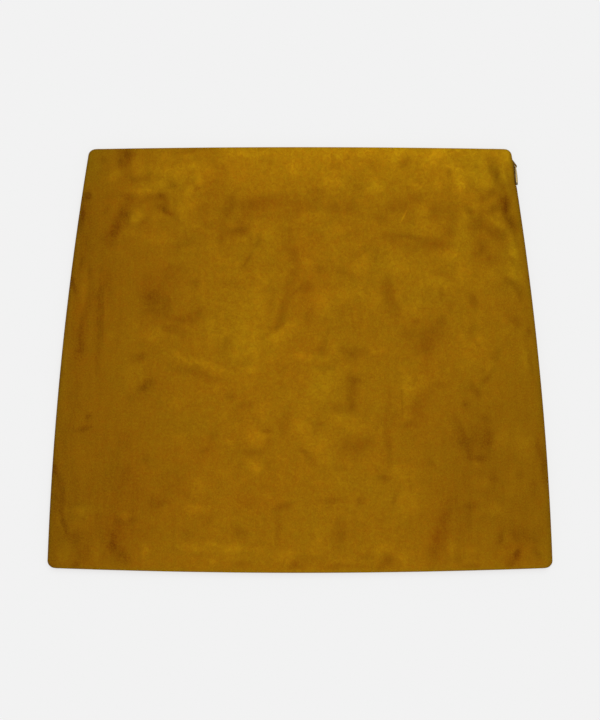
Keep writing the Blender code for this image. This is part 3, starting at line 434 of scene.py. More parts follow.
# Broad patches where the dye leans to red, above 0, or to olive, below 0.
FRONT_HUES = (
    # across, up, run, spread, turn, red
    (8, 78, 50, 15, 88, 0.36), (-34, 137, 24, 9, 8, 0.24), (-60, 112, 18, 7, 10, 0.28),
    (-163, 112, 22, 7, 76, 0.36), (-192, 30, 48, 8, 84, 0.48), (-172, 62, 24, 6, 90, 0.24),
    (-124, 110, 30, 12, 0, 0.16), (-130, 58, 34, 22, -20, 0.24), (-96, 20, 18, 10, 80, 0.24),
    (-152, -105, 44, 20, 88, 0.36), (-158, -150, 26, 13, 90, 0.48), (-145, -66, 24, 10, 0, 0.24),
    (-112, -128, 18, 18, 0, 0.24), (-80, -78, 14, 9, 0, 0.28), (-38, -124, 34, 9, 0, 0.32),
    (-60, -42, 24, 12, 90, 0.22), (-8, 0, 22, 11, 86, 0.2), (112, 6, 32, 10, 86, 0.28),
    (152, -72, 22, 18, 90, 0.28), (120, -155, 26, 9, 84, 0.36), (188, -166, 14, 9, 70, 0.32),
    (78, -174, 12, 7, 0, 0.24), (100, -68, 30, 14, 85, 0.2), (152, 165, 30, 17, -10, -0.6),
    (62, 152, 9, 7, 0, -0.36), (188, 84, 26, 9, 104, -0.56), (196, 12, 60, 9, 97, -0.32),
    (-176, 166, 16, 8, 80, -0.36), (-100, 160, 22, 11, 40, -0.36), (-60, 14, 30, 20, 0, -0.44),
    (-84, 32, 14, 12, 0, -0.2), (72, 84, 32, 17, 10, -0.36), (60, 58, 12, 14, 0, -0.24),
    (142, 110, 18, 14, 90, -0.36), (20, -34, 34, 16, 90, -0.32), (60, -118, 18, 15, 0, -0.28),
    (38, -104, 12, 9, 0, -0.2), (-102, -58, 18, 15, 90, -0.2), (-190, -132, 13, 10, 0, -0.28),
    (-80, -164, 34, 7, 0, -0.28), (-206, -165, 12, 9, 90, -0.32), (-180, 170, 22, 16, 80, -0.7),
    (-180, 105, 55, 13, 84, -0.3), (-160, -105, 55, 15, 90, -0.5), (-203, -120, 50, 12, 94, -0.3),
    (-200, 0, 60, 12, 87, -0.2), (-55, -105, 60, 50, 0, 0.28), (-60, 165, 60, 12, 0, 0.3),
    (-30, 122, 26, 11, 0, 0.32), (-60, -15, 40, 30, 0, 0.16), (-10, 70, 40, 12, 90, 0.2),
    (178, 145, 40, 12, 100, -0.4), (178, 88, 34, 14, 100, -0.36), (184, -30, 50, 20, 95, -0.4),
    (156, -80, 28, 17, 90, -0.55), (182, -125, 30, 22, 90, -0.32), (206, -150, 30, 12, 90, -0.45),
    (105, 60, 40, 13, 0, -0.3), (134, 0, 70, 18, 90, -0.14),
)

# Painted shade along the edges, where the cloth rolls away from the light and into the seams, with
# an olive hue at the rims: each row is for an edge and for a part of it.
PAINTED_EDGE_SHADING = (
    # edge, part of it, tone, red, how far it reaches in mm
    ("plain side", "all", -0.55, 0.0, 1.9),
    ("zip side", "all", -0.80, 0.0, 2.2),
    ("zip side", "above the hip", -0.35, 0.0, 2.6),
    ("waist", "all", -0.60, 0.0, 1.1),
    ("hem", "all", -0.30, 0.0, 1.1),
    ("plain side", "at the hip", 0.18, 0.0, 9.0),
    # painted shadow in the seam's gap beside the slider and the pull
    ("zip side", "beside the pull", -0.75, 0.0, 1.5),
    ("plain side", "all", 0.0, -1.8, 2.4),
    ("zip side", "all", 0.0, -1.8, 2.4),
    ("waist", "all", 0.0, -1.5, 1.8),
    ("hem", "all", 0.0, -1.8, 1.8),
    ("nearer side", "all", 0.0, -0.4, 9.0),
)

# How strongly, how softly and how unevenly the marks lie in the nap.
MARK_TONE = 1.10
MARK_RED = 0.6
MARK_FLATNESS = 1.6  # above 1 a mark is even inside and falls off faster at its edge
MARK_WANDER = ((13.0, 1.2), (5.0, 0.9))  # size of the bends of its edge, and their depth, in mm
MARK_WEAR = ((4.2, 0.35), (9.0, 0.20))  # size of its uneven patches in mm, and their strength

# The nap as a whole, and the suede's inner side.
REDNESS = 0.12
INSIDE_TONE = -0.35
INSIDE_RED = 0.2
# Fine lines drawn in the nap by a nail or a fold.
FINE_LINES = (
    # across, up, run, spread, turn, tone
    (90.0, 124.5, 5.5, 0.75, 62.0, 1.00), (-45.0, 88.0, 12.0, 0.90, 56.0, -0.34),
    (88.6, -36.0, 12.0, 0.80, 91.0, -0.50), (129.5, 179.2, 12.0, 0.90, 18.0, 0.42),
    (-3.0, 60.0, 7.0, 0.80, 45.0, -0.30), (-171.0, 44.0, 26.0, 0.90, 89.0, -0.30),
    (140.0, 138.0, 13.0, 0.80, -6.0, 0.26), (54.0, 92.0, 15.0, 0.80, 36.0, -0.22),
)

# The back's own marks.
BACK_MARKS = (
    # across, up, run, spread, turn, bend, tone, red
    (-150, 150, 16, 7, 70, 0, -0.59, 0.32), (164, 132, 18, 6, 104, 2, -0.64, 0.32),
    (-40, 128, 30, 7, 6, -3, -0.43, 0.32), (84, 112, 24, 6, -12, 3, -0.45, 0.32),
    (-178, 30, 34, 3.2, 88, 0, -0.45, 0.16), (186, 10, 26, 4, 96, 0, -0.45, 0.24),
    (30, 20, 20, 6, 76, 2, -0.46, 0.32), (-92, -20, 26, 5, 24, 3, 0.45, -0.16),
    (120, -60, 24, 5, 108, 2, -0.5, 0.32), (-140, -130, 28, 7, 84, 3, -0.5, 0.4),
    (60, -150, 22, 5, 78, -3, -0.46, 0.4), (-20, -100, 18, 8, 20, 0, 0.41, 0),
    (140, 160, 18, 5, 10, 0, 0.46, -0.24), (196, -150, 14, 4, 70, 0, -0.59, 0.4),
)
BACK_SCATTERED = 90  # how many small marks it has besides
BACK_HUES = (46.0, 0.4)  # size of its redder and more olive patches in mm, and their strength

# Seeds and grid of what is uneven.
FRONT_SEED = 11
BACK_SEED = 61
BACK_MARKS_SEED = 23
BACK_HUE_SEED = 91
LATTICE = 256
LATTICE_MIDDLE = 100.0


def side_line(down):
    """Half width of the laid skirt, before its corners are rounded."""
    share = down / LENGTH
    straight = (WAIST_WIDTH + (HEM_WIDTH - WAIST_WIDTH) * share) / 2.0
    return straight + 4.0 * HIP_BULGE * share * (1.0 - share)


def half_width(side, down):
    """Half width on one side, +1 for the zip side, with rounded corners and the zip pull's dent."""
    radius = np.where(down < LENGTH / 2.0, WAIST_CORNER, HEM_CORNER)
    short = np.maximum(radius - np.minimum(down, LENGTH - down), 0.0)
    cut = radius - np.sqrt(radius**2 - short**2)
    reach = side_line(down) - np.where(short > 0.0, cut, 0.0)
    if side < 0:
        return reach
    away = down - DENT_AT
    share = np.clip(np.abs(away) / np.where(away > 0.0, DENT_BELOW, DENT_ABOVE), 0.0, 1.0)
    return reach - DENT_DEPTH * np.cos(math.pi / 2.0 * share) ** 2


def seam_half_gap(side, down):
    """Half the gap between the two panels' edges at a side seam."""
    if side < 0:
        return np.full_like(down, SEAM_HALF_GAP)
    steps = [down > ZIP_END, down > SLIDER_FOOT, down >= SLIDER_TOP]
    return np.select(steps, [SEAM_HALF_GAP, ZIP_HALF_GAP, SLIDER_HALF_GAP], OPEN_HALF_GAP)


def along(across, down):
    """Y of a point, on a line that bows with the waist and the hem."""
    share = down / LENGTH
    bow = (-WAIST_BOW * (1.0 - share) + HEM_BOW * share) * (across / side_line(down)) ** 2
    return LENGTH / 2.0 - down + bow


def ramp(value, low, high):
    """0 at low, 1 at high and straight between them."""
    return np.clip((value - low) / (high - low), 0.0, 1.0)


def ease(value, low, high):
    """0 at low, 1 at high and smooth between them."""
    share = ramp(value, low, high)
    return share * share * (3.0 - 2.0 * share)


def edge_fade(across, down):
    """1 over the panel's middle, falling to 0 at its edges."""
    out = np.clip(1.0 - (across / side_line(down)) ** 4, 0.0, 1.0)
    return out * np.clip(1.0 - (2.0 * down / LENGTH - 1.0) ** 6, 0.0, 1.0)


def soft_sum(table, across, up, unit=1.0):
    """Sum of a table of soft patches, each strongest at its centre."""
    total = np.zeros_like(across)
    for centre_x, centre_y, run, spread, turn, strength in table:
        angle = math.radians(turn)
        dx = across / MM - centre_x
        dy = up / MM - centre_y
        lengthwise = (dx * math.cos(angle) + dy * math.sin(angle)) / run
        sideways = (dy * math.cos(angle) - dx * math.sin(angle)) / spread
        total += strength * unit * np.exp(-(lengthwise**2) - sideways**2)
    return total


def outer_height(face, across, down):
    """Height of a panel's outer side: face is +1 for the front and -1 for the back."""
    up = along(across, down)
    from_end = np.minimum(down, LENGTH - down)
    inward = ramp(side_line(down) - np.abs(across), SIDE_ROLL, 3.0 * SIDE_ROLL)
    if face < 0:
        hollows = soft_sum(BACK_CREASES, across, up, MM)
        return hollows * inward * ramp(from_end, 0.0, TURN_IN)
    fade = edge_fade(across, down)
    waves = FLAT_AT_EDGES + (1.0 - FLAT_AT_EDGES) * fade
    lift = soft_sum(RISES, across, up, MM) * waves
    band = BAND_LIFT * (1.0 - ease(from_end, TURN_IN - BAND_FADE, TURN_IN)) * inward
    creases = soft_sum(FRONT_CREASES, across, up, MM) * inward * ramp(from_end, 0.0, CREASE_FADE)
    return STACK - CENTRE_SAG * fade + lift + creases + band * ramp(from_end, 0.0, BAND_FADE)


def wall(across, down):
    """Thickness of a panel's wall, double where the waist and the hem are turned in."""
    from_end = np.minimum(down, LENGTH - down)
    turned = 1.0 - ramp(from_end, TURN_IN, TURN_IN + TURN_STEP)
    inside_left = ramp(half_width(-1, down) + across, SIDE_ROLL, 2.0 * SIDE_ROLL)
    near = half_width(1, down) - across
    at_zip = ramp(near, *ZIP_RELIEF)
    inside_right = np.where(down < LENGTH / 2.0, at_zip, ramp(near, SIDE_ROLL, 2.0 * SIDE_ROLL))
    return SUEDE * (1.0 + turned * inside_left * inside_right)


def panel_rows():
    """Down and roundness of each row of points: roundness is below 1 round a turned edge."""
    angles = np.radians(FOLD_ANGLES)
    fold = SUEDE * (np.cos(angles[0]) - np.cos(angles))
    corner = np.linspace(fold[-1], CORNER_REACH, CORNER_ROWS + 1)[1:]
    middle = np.linspace(CORNER_REACH, LENGTH - CORNER_REACH, FACE_ROWS + 1)[1:-1]
    middle = np.concatenate([corner, middle, LENGTH - corner[::-1]])
    down = np.concatenate([fold, middle, LENGTH - fold[::-1]])
    roundness = np.concatenate([np.sin(angles), np.ones_like(middle), np.sin(angles)[::-1]])
    return down, roundness


def rolled_columns(face, side, down):
    """Outer and inner (x, z) of each column round one side, from the seam up to the flat."""
    reach = half_width(side, down)
    gap = seam_half_gap(side, down)
    centre = reach - SIDE_ROLL
    height = np.abs(outer_height(face, side * centre, down) - MID) - gap
    columns = []
    for back, rise in ((SEAM_LIP, 0.0), (SEAM_LIP * 0.3, SEAM_LIP * 0.3)):
        outer = (side * (reach - back), MID + face * (gap + rise))
        inner = (side * (reach - SUEDE + back * 0.3), MID + face * (gap + rise))
        columns.append((outer, inner))
    for degrees in ROLL_ANGLES:
        out = math.cos(math.radians(degrees))
        rise = math.sin(math.radians(degrees))
        outer = (side * (centre + SIDE_ROLL * out), MID + face * (gap + height * rise))
        inner_x = side * (centre + (SIDE_ROLL - SUEDE) * out)
        columns.append((outer, (inner_x, MID + face * (gap + (height - SUEDE) * rise))))
    return columns


def panel_points(face):
    """Points of a panel as (rows, columns, 3): outer side, then inner side in reverse order."""
    down, roundness = panel_rows()
    columns = rolled_columns(face, -1, down)
    left = -half_width(-1, down) + SIDE_ROLL
    right = half_width(1, down) - SIDE_ROLL
    for share in np.linspace(0.0, 1.0, FACE_COLUMNS + 1)[1:-1]:
        across = left + (right - left) * share
        height = outer_height(face, across, down)
        columns.append(((across, height), (across, height - face * wall(across, down))))
    columns += rolled_columns(face, 1, down)[::-1]
    outer = []
    inner = []
    for (outer_x, outer_z), (inner_x, inner_z) in columns:
        middle_x = (outer_x + inner_x) / 2.0
        middle_z = (outer_z + inner_z) / 2.0
        for line, x, z in ((outer, outer_x, outer_z), (inner, inner_x, inner_z)):
            across = middle_x + (x - middle_x) * roundness
            height = middle_z + (z - middle_z) * roundness
            line.append(np.stack([across, along(across, down), height], axis=1))
    return np.stack(outer + inner[::-1], axis=1), down


def tube_sides(rows, columns):
    """Faces of a tube of points that is open at both ends."""
    first = np.arange(columns)
    after = (first + 1) % columns
    start = np.arange(rows - 1)[:, None] * columns
    corners = [start + first, start + after, start + columns + after, start + columns + first]
    return [tuple(face) for face in np.stack(corners, axis=2).reshape(-1, 4).tolist()]


def tube_faces(rows, columns):
    """Faces of a closed tube of points, with both ends filled by strips."""
    faces = tube_sides(rows, columns)
    for end, flip in ((0, True), (rows - 1, False)):
        base = end * columns
        for i in range(columns // 2 - 1):
            strip = (base + i, base + i + 1, base + columns - 2 - i, base + columns - 1 - i)
            faces.append(strip[::-1] if flip else strip)
    return faces


def add_object(name, data):
    """A new object in the scene."""
    made = bpy.data.objects.new(name, data)
    bpy.context.scene.collection.objects.link(made)
    return made


def mesh_data(name, made):
    """A mesh from a shape that is done."""
    data = bpy.data.meshes.new(name)
    made.to_mesh(data)
    made.free()
    return data


def add_piece(name, points, faces, finish):
    """A mesh object from points and faces, with every face turned outwards."""
    data = bpy.data.meshes.new(name)
    data.from_pydata(np.reshape(points, (-1, 3)).tolist(), [], faces)
    mesh = bmesh.new()
    mesh.from_mesh(data)
    bmesh.ops.recalc_face_normals(mesh, faces=mesh.faces)
    mesh.to_mesh(data)
    mesh.free()
    data.materials.append(finish)
    data.shade_smooth()
    data.set_sharp_from_angle(angle=math.radians(SMOOTH_BELOW))
    return add_object(name, data)


def cloud(across, up, size, seed):
    """Smooth unevenness of about -1 to 1 in patches of one size, in mm."""
    lattice = np.random.RandomState(seed).uniform(-1.0, 1.0, (LATTICE, LATTICE))
    x = across / MM / size + LATTICE_MIDDLE
    y = up / MM / size + LATTICE_MIDDLE
    column = np.floor(x).astype(int)
    row = np.floor(y).astype(int)
    sx = ease(x - column, 0.0, 1.0)
    sy = ease(y - row, 0.0, 1.0)
    low = lattice[row, column] * (1.0 - sx) + lattice[row, column + 1] * sx
    high = lattice[row + 1, column] * (1.0 - sx) + lattice[row + 1, column + 1] * sx
    return low * (1.0 - sy) + high * sy


def front_marks():
    """All marks of the front, each with its bend and its redness."""
    smudges = [(*place, 0.0, tone, 0.0) for *place, tone in FRONT_SMUDGES]
    return list(FRONT_MARKS) + smudges


def brushed(marks, across, up, seed):
    """Tone and redness of the nap from a table of brushed marks with uneven edges."""
    x = across / MM
    y = up / MM
    for i, (size, shift) in enumerate(MARK_WANDER):
        x = x + shift * cloud(across, up, size, seed + i)
        y = y + shift * cloud(across, up, size, seed + 2 + i)
    tone = np.zeros_like(across)
    red = np.zeros_like(across)
    for centre_x, centre_y, run, spread, turn, bend, depth, redness in marks:
        angle = math.radians(turn)
        dx = x - centre_x
        dy = y - centre_y
        lengthwise = (dx * math.cos(angle) + dy * math.sin(angle)) / run
        sideways = (dy * math.cos(angle) - dx * math.sin(angle) - bend * lengthwise**2) / spread
        mark = np.exp(-((lengthwise**2 + sideways**2) ** MARK_FLATNESS))
        tone += depth * mark
        red += MARK_RED * redness * mark
    worn = 1.0
    for i, (size, change) in enumerate(MARK_WEAR):
        worn = worn + change * cloud(across, up, size, seed + 4 + i)
    return MARK_TONE * tone * worn, red


def painted_light_and_broad_tone(across, up):
    """Broad tone of the laid cloth: painted light along the waist and over its upper part, painted
    shade darkening it towards its sides, and the broad patches.
    """
    down = LENGTH / 2.0 - up
    from_left = np.maximum(side_line(down) + across, 0.0) / MM
    from_right = np.maximum(side_line(down) - across, 0.0) / MM
    # painted shade: the cloth darkens towards both sides, most towards the plain side
    plain_side_painted_shade = np.exp(-from_left / 52.0)
    zip_side_painted_shade = np.exp(-from_right / 24.0)
    # painted light: a lighter band along the waist and over the upper part
    waist = np.exp(-((down / MM / 30.0) ** 2)) * ease(from_left, 30.0, 130.0)
    upper_painted_light = np.exp(-((down / MM / 55.0) ** 2))
    tone = 0.20 - 1.00 * plain_side_painted_shade - 0.42 * zip_side_painted_shade + 0.68 * waist + 0.20 * upper_painted_light
    return tone + soft_sum(BROAD_TONES, across, up)


def scattered_marks(seed, count):
    """A table of small brushed marks in no order."""
    random = np.random.RandomState(seed)
    table = []
    for _ in range(count):
        tone = random.choice([-1.0, -1.0, 1.0]) * random.uniform(0.20, 0.50)
        red = 0.5 * random.uniform(0.0, 1.0) * (1.0 if tone < 0.0 else -0.5)
        place = (random.uniform(-205.0, 205.0), random.uniform(-180.0, 180.0))
        size = (random.uniform(5.0, 18.0), random.uniform(2.5, 7.0))
        turn = random.uniform(0.0, 180.0)
        bend = random.uniform(-3.0, 3.0)
        table.append((*place, *size, turn, bend, tone, red))
    return table


def paint_nap_and_painted_shading(piece, points, down, face):
    """Stores the nap's tone and redness on every point of a panel, with painted light and shade
    over its breadth and painted shade along its edges.
    """
    across = points[:, :, 0]
    up = points[:, :, 1]
    if face > 0:
        tone, red = brushed(front_marks(), across, up, FRONT_SEED)
        red += REDNESS + soft_sum(FRONT_HUES, across, up)
    else:
        marks = list(BACK_MARKS) + scattered_marks(BACK_MARKS_SEED, BACK_SCATTERED)
        tone, red = brushed(marks, across, up, BACK_SEED)
        size, strength = BACK_HUES
        red += REDNESS + strength * cloud(across, up, size, BACK_HUE_SEED)
    # painted light along the waist and at the top, painted shade towards the sides, and the broad
    # patches
    tone += painted_light_and_broad_tone(across, up)
    left = np.maximum(half_width(-1, down)[:, None] + across, 0.0) / MM
    right = np.maximum(half_width(1, down)[:, None] - across, 0.0) / MM
    from_waist = down[:, None] / MM
    from_hem = (LENGTH - down[:, None]) / MM
    edges = {"plain side": left, "zip side": right, "waist": from_waist, "hem": from_hem}
    edges["nearer side"] = np.minimum(left, right)
    parts = {"all": 1.0, "above the hip": ease(up, 40.0 * MM, 80.0 * MM)}
    parts["at the hip"] = np.exp(-((up / MM / 60.0) ** 4))
    parts["beside the pull"] = np.exp(-(((from_waist - 27.0) / 20.0) ** 4))
    # painted shade and its olive hue along the rolled edges, and a painted shadow beside the pull
    for edge, part, depth, redness, reach in PAINTED_EDGE_SHADING:
        shade = parts[part] * np.exp(-((edges[edge] / reach) ** 2))
        tone += depth * shade
        red += redness * shade
    columns = points.shape[1] // 2
    tone[:, columns:] = INSIDE_TONE
    red[:, columns:] = INSIDE_RED
    for name, values in (("nap_tone", tone), ("nap_red", red)):
        store = piece.data.attributes.new(name, "FLOAT", "POINT")
        store.data.foreach_set("value", values.astype(np.float32).ravel())


class Wire:
    """A number that varies over a surface, on which the usual sums can be done."""

    def __init__(self, tree, socket):
        self.tree = tree
        self.socket = socket

    def sum_of(self, operation, first, second):
        node = self.tree.nodes.new("ShaderNodeMath")
        node.operation = operation
        join(self.tree, node.inputs[0], first)
        join(self.tree, node.inputs[1], second)
        return Wire(self.tree, node.outputs[0])

    def __add__(self, other):
        return self.sum_of("ADD", self, other)

    def __radd__(self, other):
        return self.sum_of("ADD", other, self)

    def __sub__(self, other):
        return self.sum_of("SUBTRACT", self, other)

    def __rsub__(self, other):
        return self.sum_of("SUBTRACT", other, self)

    def __mul__(self, other):
        return self.sum_of("MULTIPLY", self, other)

    def __rmul__(self, other):
        return self.sum_of("MULTIPLY", other, self)

    def __truediv__(self, other):
        return self.sum_of("DIVIDE", self, other)


def join(tree, socket, value):
    """Links a wire to a socket, or sets the socket's own value."""
    if isinstance(value, Wire):
        tree.links.new(value.socket, socket)
    else:
        socket.default_value = value


class Finish:
    """A material and the nodes that make it."""

    def __init__(self, name):
        self.material = bpy.data.materials.new(name)
        self.material.use_nodes = True
        self.tree = self.material.node_tree
        self.shader = self.tree.nodes["Principled BSDF"]

    def node(self, kind, settings=None, sockets=None, output=0):
        """Adds a node: its settings are set first, then its sockets are set or linked."""
        made = self.tree.nodes.new(kind)
        for name, value in (settings or {}).items():
            if name == "stops":
                self.set_stops(made.color_ramp, value)
            else:
                setattr(made, name, value)
        for name, value in (sockets or {}).items():
            join(self.tree, made.inputs[name], value)
        return Wire(self.tree, made.outputs[output])

    def set_stops(self, colour_ramp, stops):
        elements = colour_ramp.elements
        while len(elements) < len(stops):
            elements.new(0.5)
        for element, (place, colour) in zip(elements, stops):
            element.position = place
            element.color = (*colour, 1.0)

    def place(self, shift=(0.0, 0.0, 0.0), turn=(0.0, 0.0, 0.0), stretch=(1.0, 1.0, 1.0)):
        """The object's own coordinates, shifted, turned and stretched."""
        here = self.node("ShaderNodeTexCoord", output="Object")
        sockets = {"Vector": here, "Location": shift, "Rotation": turn, "Scale": stretch}
        return self.node("ShaderNodeMapping", {"vector_type": "POINT"}, sockets)

    def noise(self, place, size, detail=2.0, roughness=0.5, warp=0.0):
        """Even noise about 0, with patches of one size in metres."""
        sockets = {"Vector": place, "Scale": 1.0 / size, "Detail": detail}
        sockets.update({"Roughness": roughness, "Distortion": warp})
        return self.node("ShaderNodeTexNoise", {}, sockets) - 0.5

    def fine_line(self, across, up, run, spread, turn, tone):
        """A thin soft line on the face, from its place and half sizes in mm."""
        moved = self.place((-across * MM, -up * MM, 0.0))
        sockets = {"Vector": moved, "Angle": -math.radians(turn)}
        turned = self.node("ShaderNodeVectorRotate", {"rotation_type": "Z_AXIS"}, sockets)
        lengthwise = self.node("ShaderNodeSeparateXYZ", {}, {"Vector": turned}, "X") / (run * MM)
        sideways = self.node("ShaderNodeSeparateXYZ", {}, {"Vector": turned}, "Y") / (spread * MM)
        far = lengthwise * lengthwise + sideways * sideways
        return tone * self.node("ShaderNodeMath", {"operation": "EXPONENT"}, {0: far * -1.0})

    def blend(self, share, first, second, mode="MIX"):
        """Two colours mixed by a share."""
        settings = {"data_type": "RGBA", "blend_type": mode, "clamp_factor": True}
        return self.node("ShaderNodeMix", settings, {0: share, 6: first, 7: second}, output=2)

    def constants(self, **values):
        """Values that are the same all over the surface, on the shader's own sockets."""
        for name, value in values.items():
            self.shader.inputs[name.replace("_", " ")].default_value = value

    def show(self, **wires):
        """What varies over the surface."""
        for name, wire in wires.items():
            join(self.tree, self.shader.inputs[name.replace("_", " ")], wire)

    def bump(self, height, distance, strength):
        """Fine relief, of a height from 0 to 1 times a distance in metres."""
        sockets = {"Height": height, "Distance": distance, "Strength": strength}
        self.show(Normal=self.node("ShaderNodeBump", {}, sockets))


SUEDE_STOPS = (
    # place from dark to light, linear colour
    (0.0, (0.105, 0.030, 0.0006)),
    (0.25, (0.176, 0.067, 0.0010)),
    (0.5, (0.248, 0.106, 0.0016)),
    (0.75, (0.348, 0.161, 0.0021)),
    (1.0, (0.464, 0.237, 0.0028)),
)


def suede_finish(name, shift, lines=()):
    """Brushed suede: golden tan, patchy where the nap lies one way or the other, and lighter or
    darker where light and shade are painted into the panel's stored tone.
    """
    finish = Finish(name)
    place = finish.place(shift)
    # the stored tone and redness carry the nap and also the painted light and shade of the panel
    tone = finish.node("ShaderNodeAttribute", {"attribute_name": "nap_tone"}, output="Fac")
    red = finish.node("ShaderNodeAttribute", {"attribute_name": "nap_red"}, output="Fac")
    clouds = finish.noise(place, 0.045, 3.0, 0.55)
    patches = finish.noise(place, 0.014, 4.0, 0.62, 1.4)
    smudges = finish.noise(place, 0.0052, 4.0, 0.70, 1.2)
    fibres = finish.noise(place, 0.0014, 2.0, 0.6)
    grain = finish.noise(place, 0.0005, 1.0, 0.5)
    combed = finish.place(shift, (0.0, 0.0, 0.35), (1.0, 0.4, 1.0))
    fuzz = finish.noise(combed, 0.00022, 1.0, 0.6, 0.4)
    slanted = finish.place(shift, (0.0, 0.0, -0.5), (1.0, 0.3, 1.0))
    hairs = finish.noise(slanted, 0.00013, 2.0, 0.6, 0.8)
    upright = finish.place(shift, stretch=(1.0, 0.16, 1.0))
    strokes = finish.noise(upright, 0.004, 3.0, 0.6)
    fine = smudges * 1.05 + fibres * 1.20 + grain * 0.50 + fuzz * 0.70 + hairs * 1.35
    total = (
        tone * (smudges * 2.2 + 1.0)
        + clouds * 0.15
        + patches * 0.50
        + strokes * (0.45 - tone * 0.45)
        + fine * (1.04 - tone * 0.48)
    )
    for line in lines:
        total = total + finish.fine_line(*line)
    share = total * 0.25 + 0.5
    colour = finish.node("ShaderNodeValToRGB", {"stops": SUEDE_STOPS}, {"Fac": share})
    elsewhere = finish.place((3.1, 1.7, 0.4))
    broad_hue = finish.noise(elsewhere, 0.026, 3.0, 0.6)
    small_hue = finish.noise(elsewhere, 0.005, 4.0, 0.7)
    redness = red + (broad_hue * 1.6 + small_hue * 2.3) - fibres * 2.0 - grain * 1.4
    redness = redness - smudges * 0.8 - fuzz * 0.8
    colour = finish.blend(redness * 0.30, colour, (1.22, 0.72, 0.75, 1.0), "MULTIPLY")
    colour = finish.blend(redness * -0.30, colour, (0.89, 1.26, 1.30, 1.0), "MULTIPLY")
    finish.show(Base_Color=colour, Roughness=0.90 - total * 0.06)
    relief = fibres * 0.5 + grain * 0.5 + smudges * 0.4 + fuzz * 0.4 + hairs * 0.4 + 0.5
    finish.bump(relief, 0.00022, 0.8)
    finish.constants(
        Metallic=0.0,
        Specular_IOR_Level=0.05,
        Specular_Tint=(0.80, 0.52, 0.18, 1.0),
        Sheen_Weight=0.12,
        Sheen_Roughness=0.55,
        Sheen_Tint=(0.85, 0.52, 0.12, 1.0),
    )
    return finish.material


def tape_finish():
    """Woven zip tape, dyed dark to match."""
    finish = Finish("woven_zip_tape")
    here = finish.node("ShaderNodeUVMap", {"uv_map": "weave"})
    bands = []
    for direction, size, uneven, detail in (("Y", 0.0045, 0.6, 2.0), ("X", 0.0035, 0.4, 1.0)):
        settings = {"wave_type": "BANDS", "bands_direction": direction, "wave_profile": "SIN"}
        sockets = {"Vector": here, "Scale": 1.0 / size, "Distortion": uneven, "Detail": detail}
        bands.append(finish.node("ShaderNodeTexWave", settings, sockets, output="Fac"))
    weave = bands[0] * 0.55 + bands[1] * 0.45
    colour = finish.blend(weave, (0.040, 0.017, 0.002, 1.0), (0.110, 0.052, 0.007, 1.0))
    finish.show(Base_Color=colour, Roughness=0.92 - weave * 0.12)
    finish.bump(weave, 0.00012, 0.8)
    finish.constants(Metallic=0.0, Specular_IOR_Level=0.2, Sheen_Weight=0.1)
    return finish.material


def thread_finish():
    """Twisted polyester thread and coil, dyed to match."""
    finish = Finish("dyed_thread")
    place = finish.place()
    fuzz = finish.noise(place, 0.0006, 2.0)
    colour = finish.blend(fuzz + 0.5, (0.075, 0.032, 0.003, 1.0), (0.180, 0.085, 0.010, 1.0))
    finish.show(Base_Color=colour, Roughness=0.55 + fuzz * 0.3)
    finish.constants(Metallic=0.0, Specular_IOR_Level=0.35)
    return finish.material


def lacquer_finish():
    """Brown lacquered slider, rubbed a little on its edges."""
    finish = Finish("brown_lacquered_slider")
    place = finish.place()
    rubs = finish.noise(place, 0.0016, 4.0, 0.65)
    specks = finish.noise(place, 0.0004, 2.0)
    share = (rubs * 3.0 - 0.45) + specks * 0.6
    colour = finish.blend(share, (0.095, 0.048, 0.003, 1.0), (0.150, 0.088, 0.012, 1.0))
    finish.show(Base_Color=colour, Roughness=0.55 + rubs * 0.30)
    finish.bump(rubs + 0.5, 0.00004, 0.5)
    finish.constants(Metallic=0.0, Specular_IOR_Level=0.15, Specular_Tint=(0.9, 0.7, 0.35, 1.0))
    return finish.material


def pull_finish():
    """Pale gold plated pull, finely brushed and a little worn."""
    finish = Finish("pale_gold_pull")
    brushed_place = finish.place(stretch=(1.0, 0.08, 1.0))
    lines = finish.noise(brushed_place, 0.00035, 2.0, 0.6)
    wear = finish.noise(finish.place(), 0.0022, 4.0, 0.65)
    share = wear * 2.2 + 0.5 + lines * 0.4
    colour = finish.blend(share, (0.20, 0.145, 0.062, 1.0), (0.31, 0.236, 0.118, 1.0))
    finish.show(Base_Color=colour, Roughness=0.44 + lines * 0.25 + wear * 0.2)
    finish.bump(lines + 0.5, 0.00003, 0.4)
    finish.constants(Metallic=1.0)
    return finish.material


def suede_panel(name, face, finish):
    """One suede panel: face is +1 for the front and -1 for the back."""
    points, down = panel_points(face)
    piece = add_piece(name, points, tube_faces(*points.shape[:2]), finish)
    paint_nap_and_painted_shading(piece, points, down, face)
    return piece


def zip_tape(name, face, finish):
    """One of the zip's two tapes, inside its panel, stepped in beside the slider."""
    beside = np.linspace(TAPE_TOP, SLIDER_FOOT, TAPE_ROWS[0])
    below = np.linspace(SLIDER_FOOT + TAPE_STEP, ZIP_END, TAPE_ROWS[1])
    down = np.concatenate([beside, below])
    setback = np.where(down <= SLIDER_FOOT, TAPE_SETBACK_AT_SLIDER, TAPE_SETBACK)
    reach = half_width(1, down)
    shares = np.linspace(0.0, 1.0, TAPE_COLUMNS)
    lines = []
    for inside, order in ((0.0, shares), (TAPE_CLOTH, shares[::-1])):
        for share in order:
            x = reach - TAPE_INNER_SETBACK + (TAPE_INNER_SETBACK - setback) * share
            skin = np.abs(outer_height(face, x, down) - MID) - SUEDE - TAPE_CLEARANCE
            z = MID + face * (skin - inside)
            lines.append(np.stack([x, along(x, down), z], axis=1))
    points = np.stack(lines, axis=1)
    piece = add_piece(name, points, tube_faces(*points.shape[:2]), finish)
    weave = piece.data.uv_layers.new(name="weave")
    for loop in piece.data.loops:
        row, column = divmod(loop.vertex_index, points.shape[1])
        x = points[row, column, 0] - reach[row]
        weave.data[loop.index].uv = (x, down[row])
    return piece


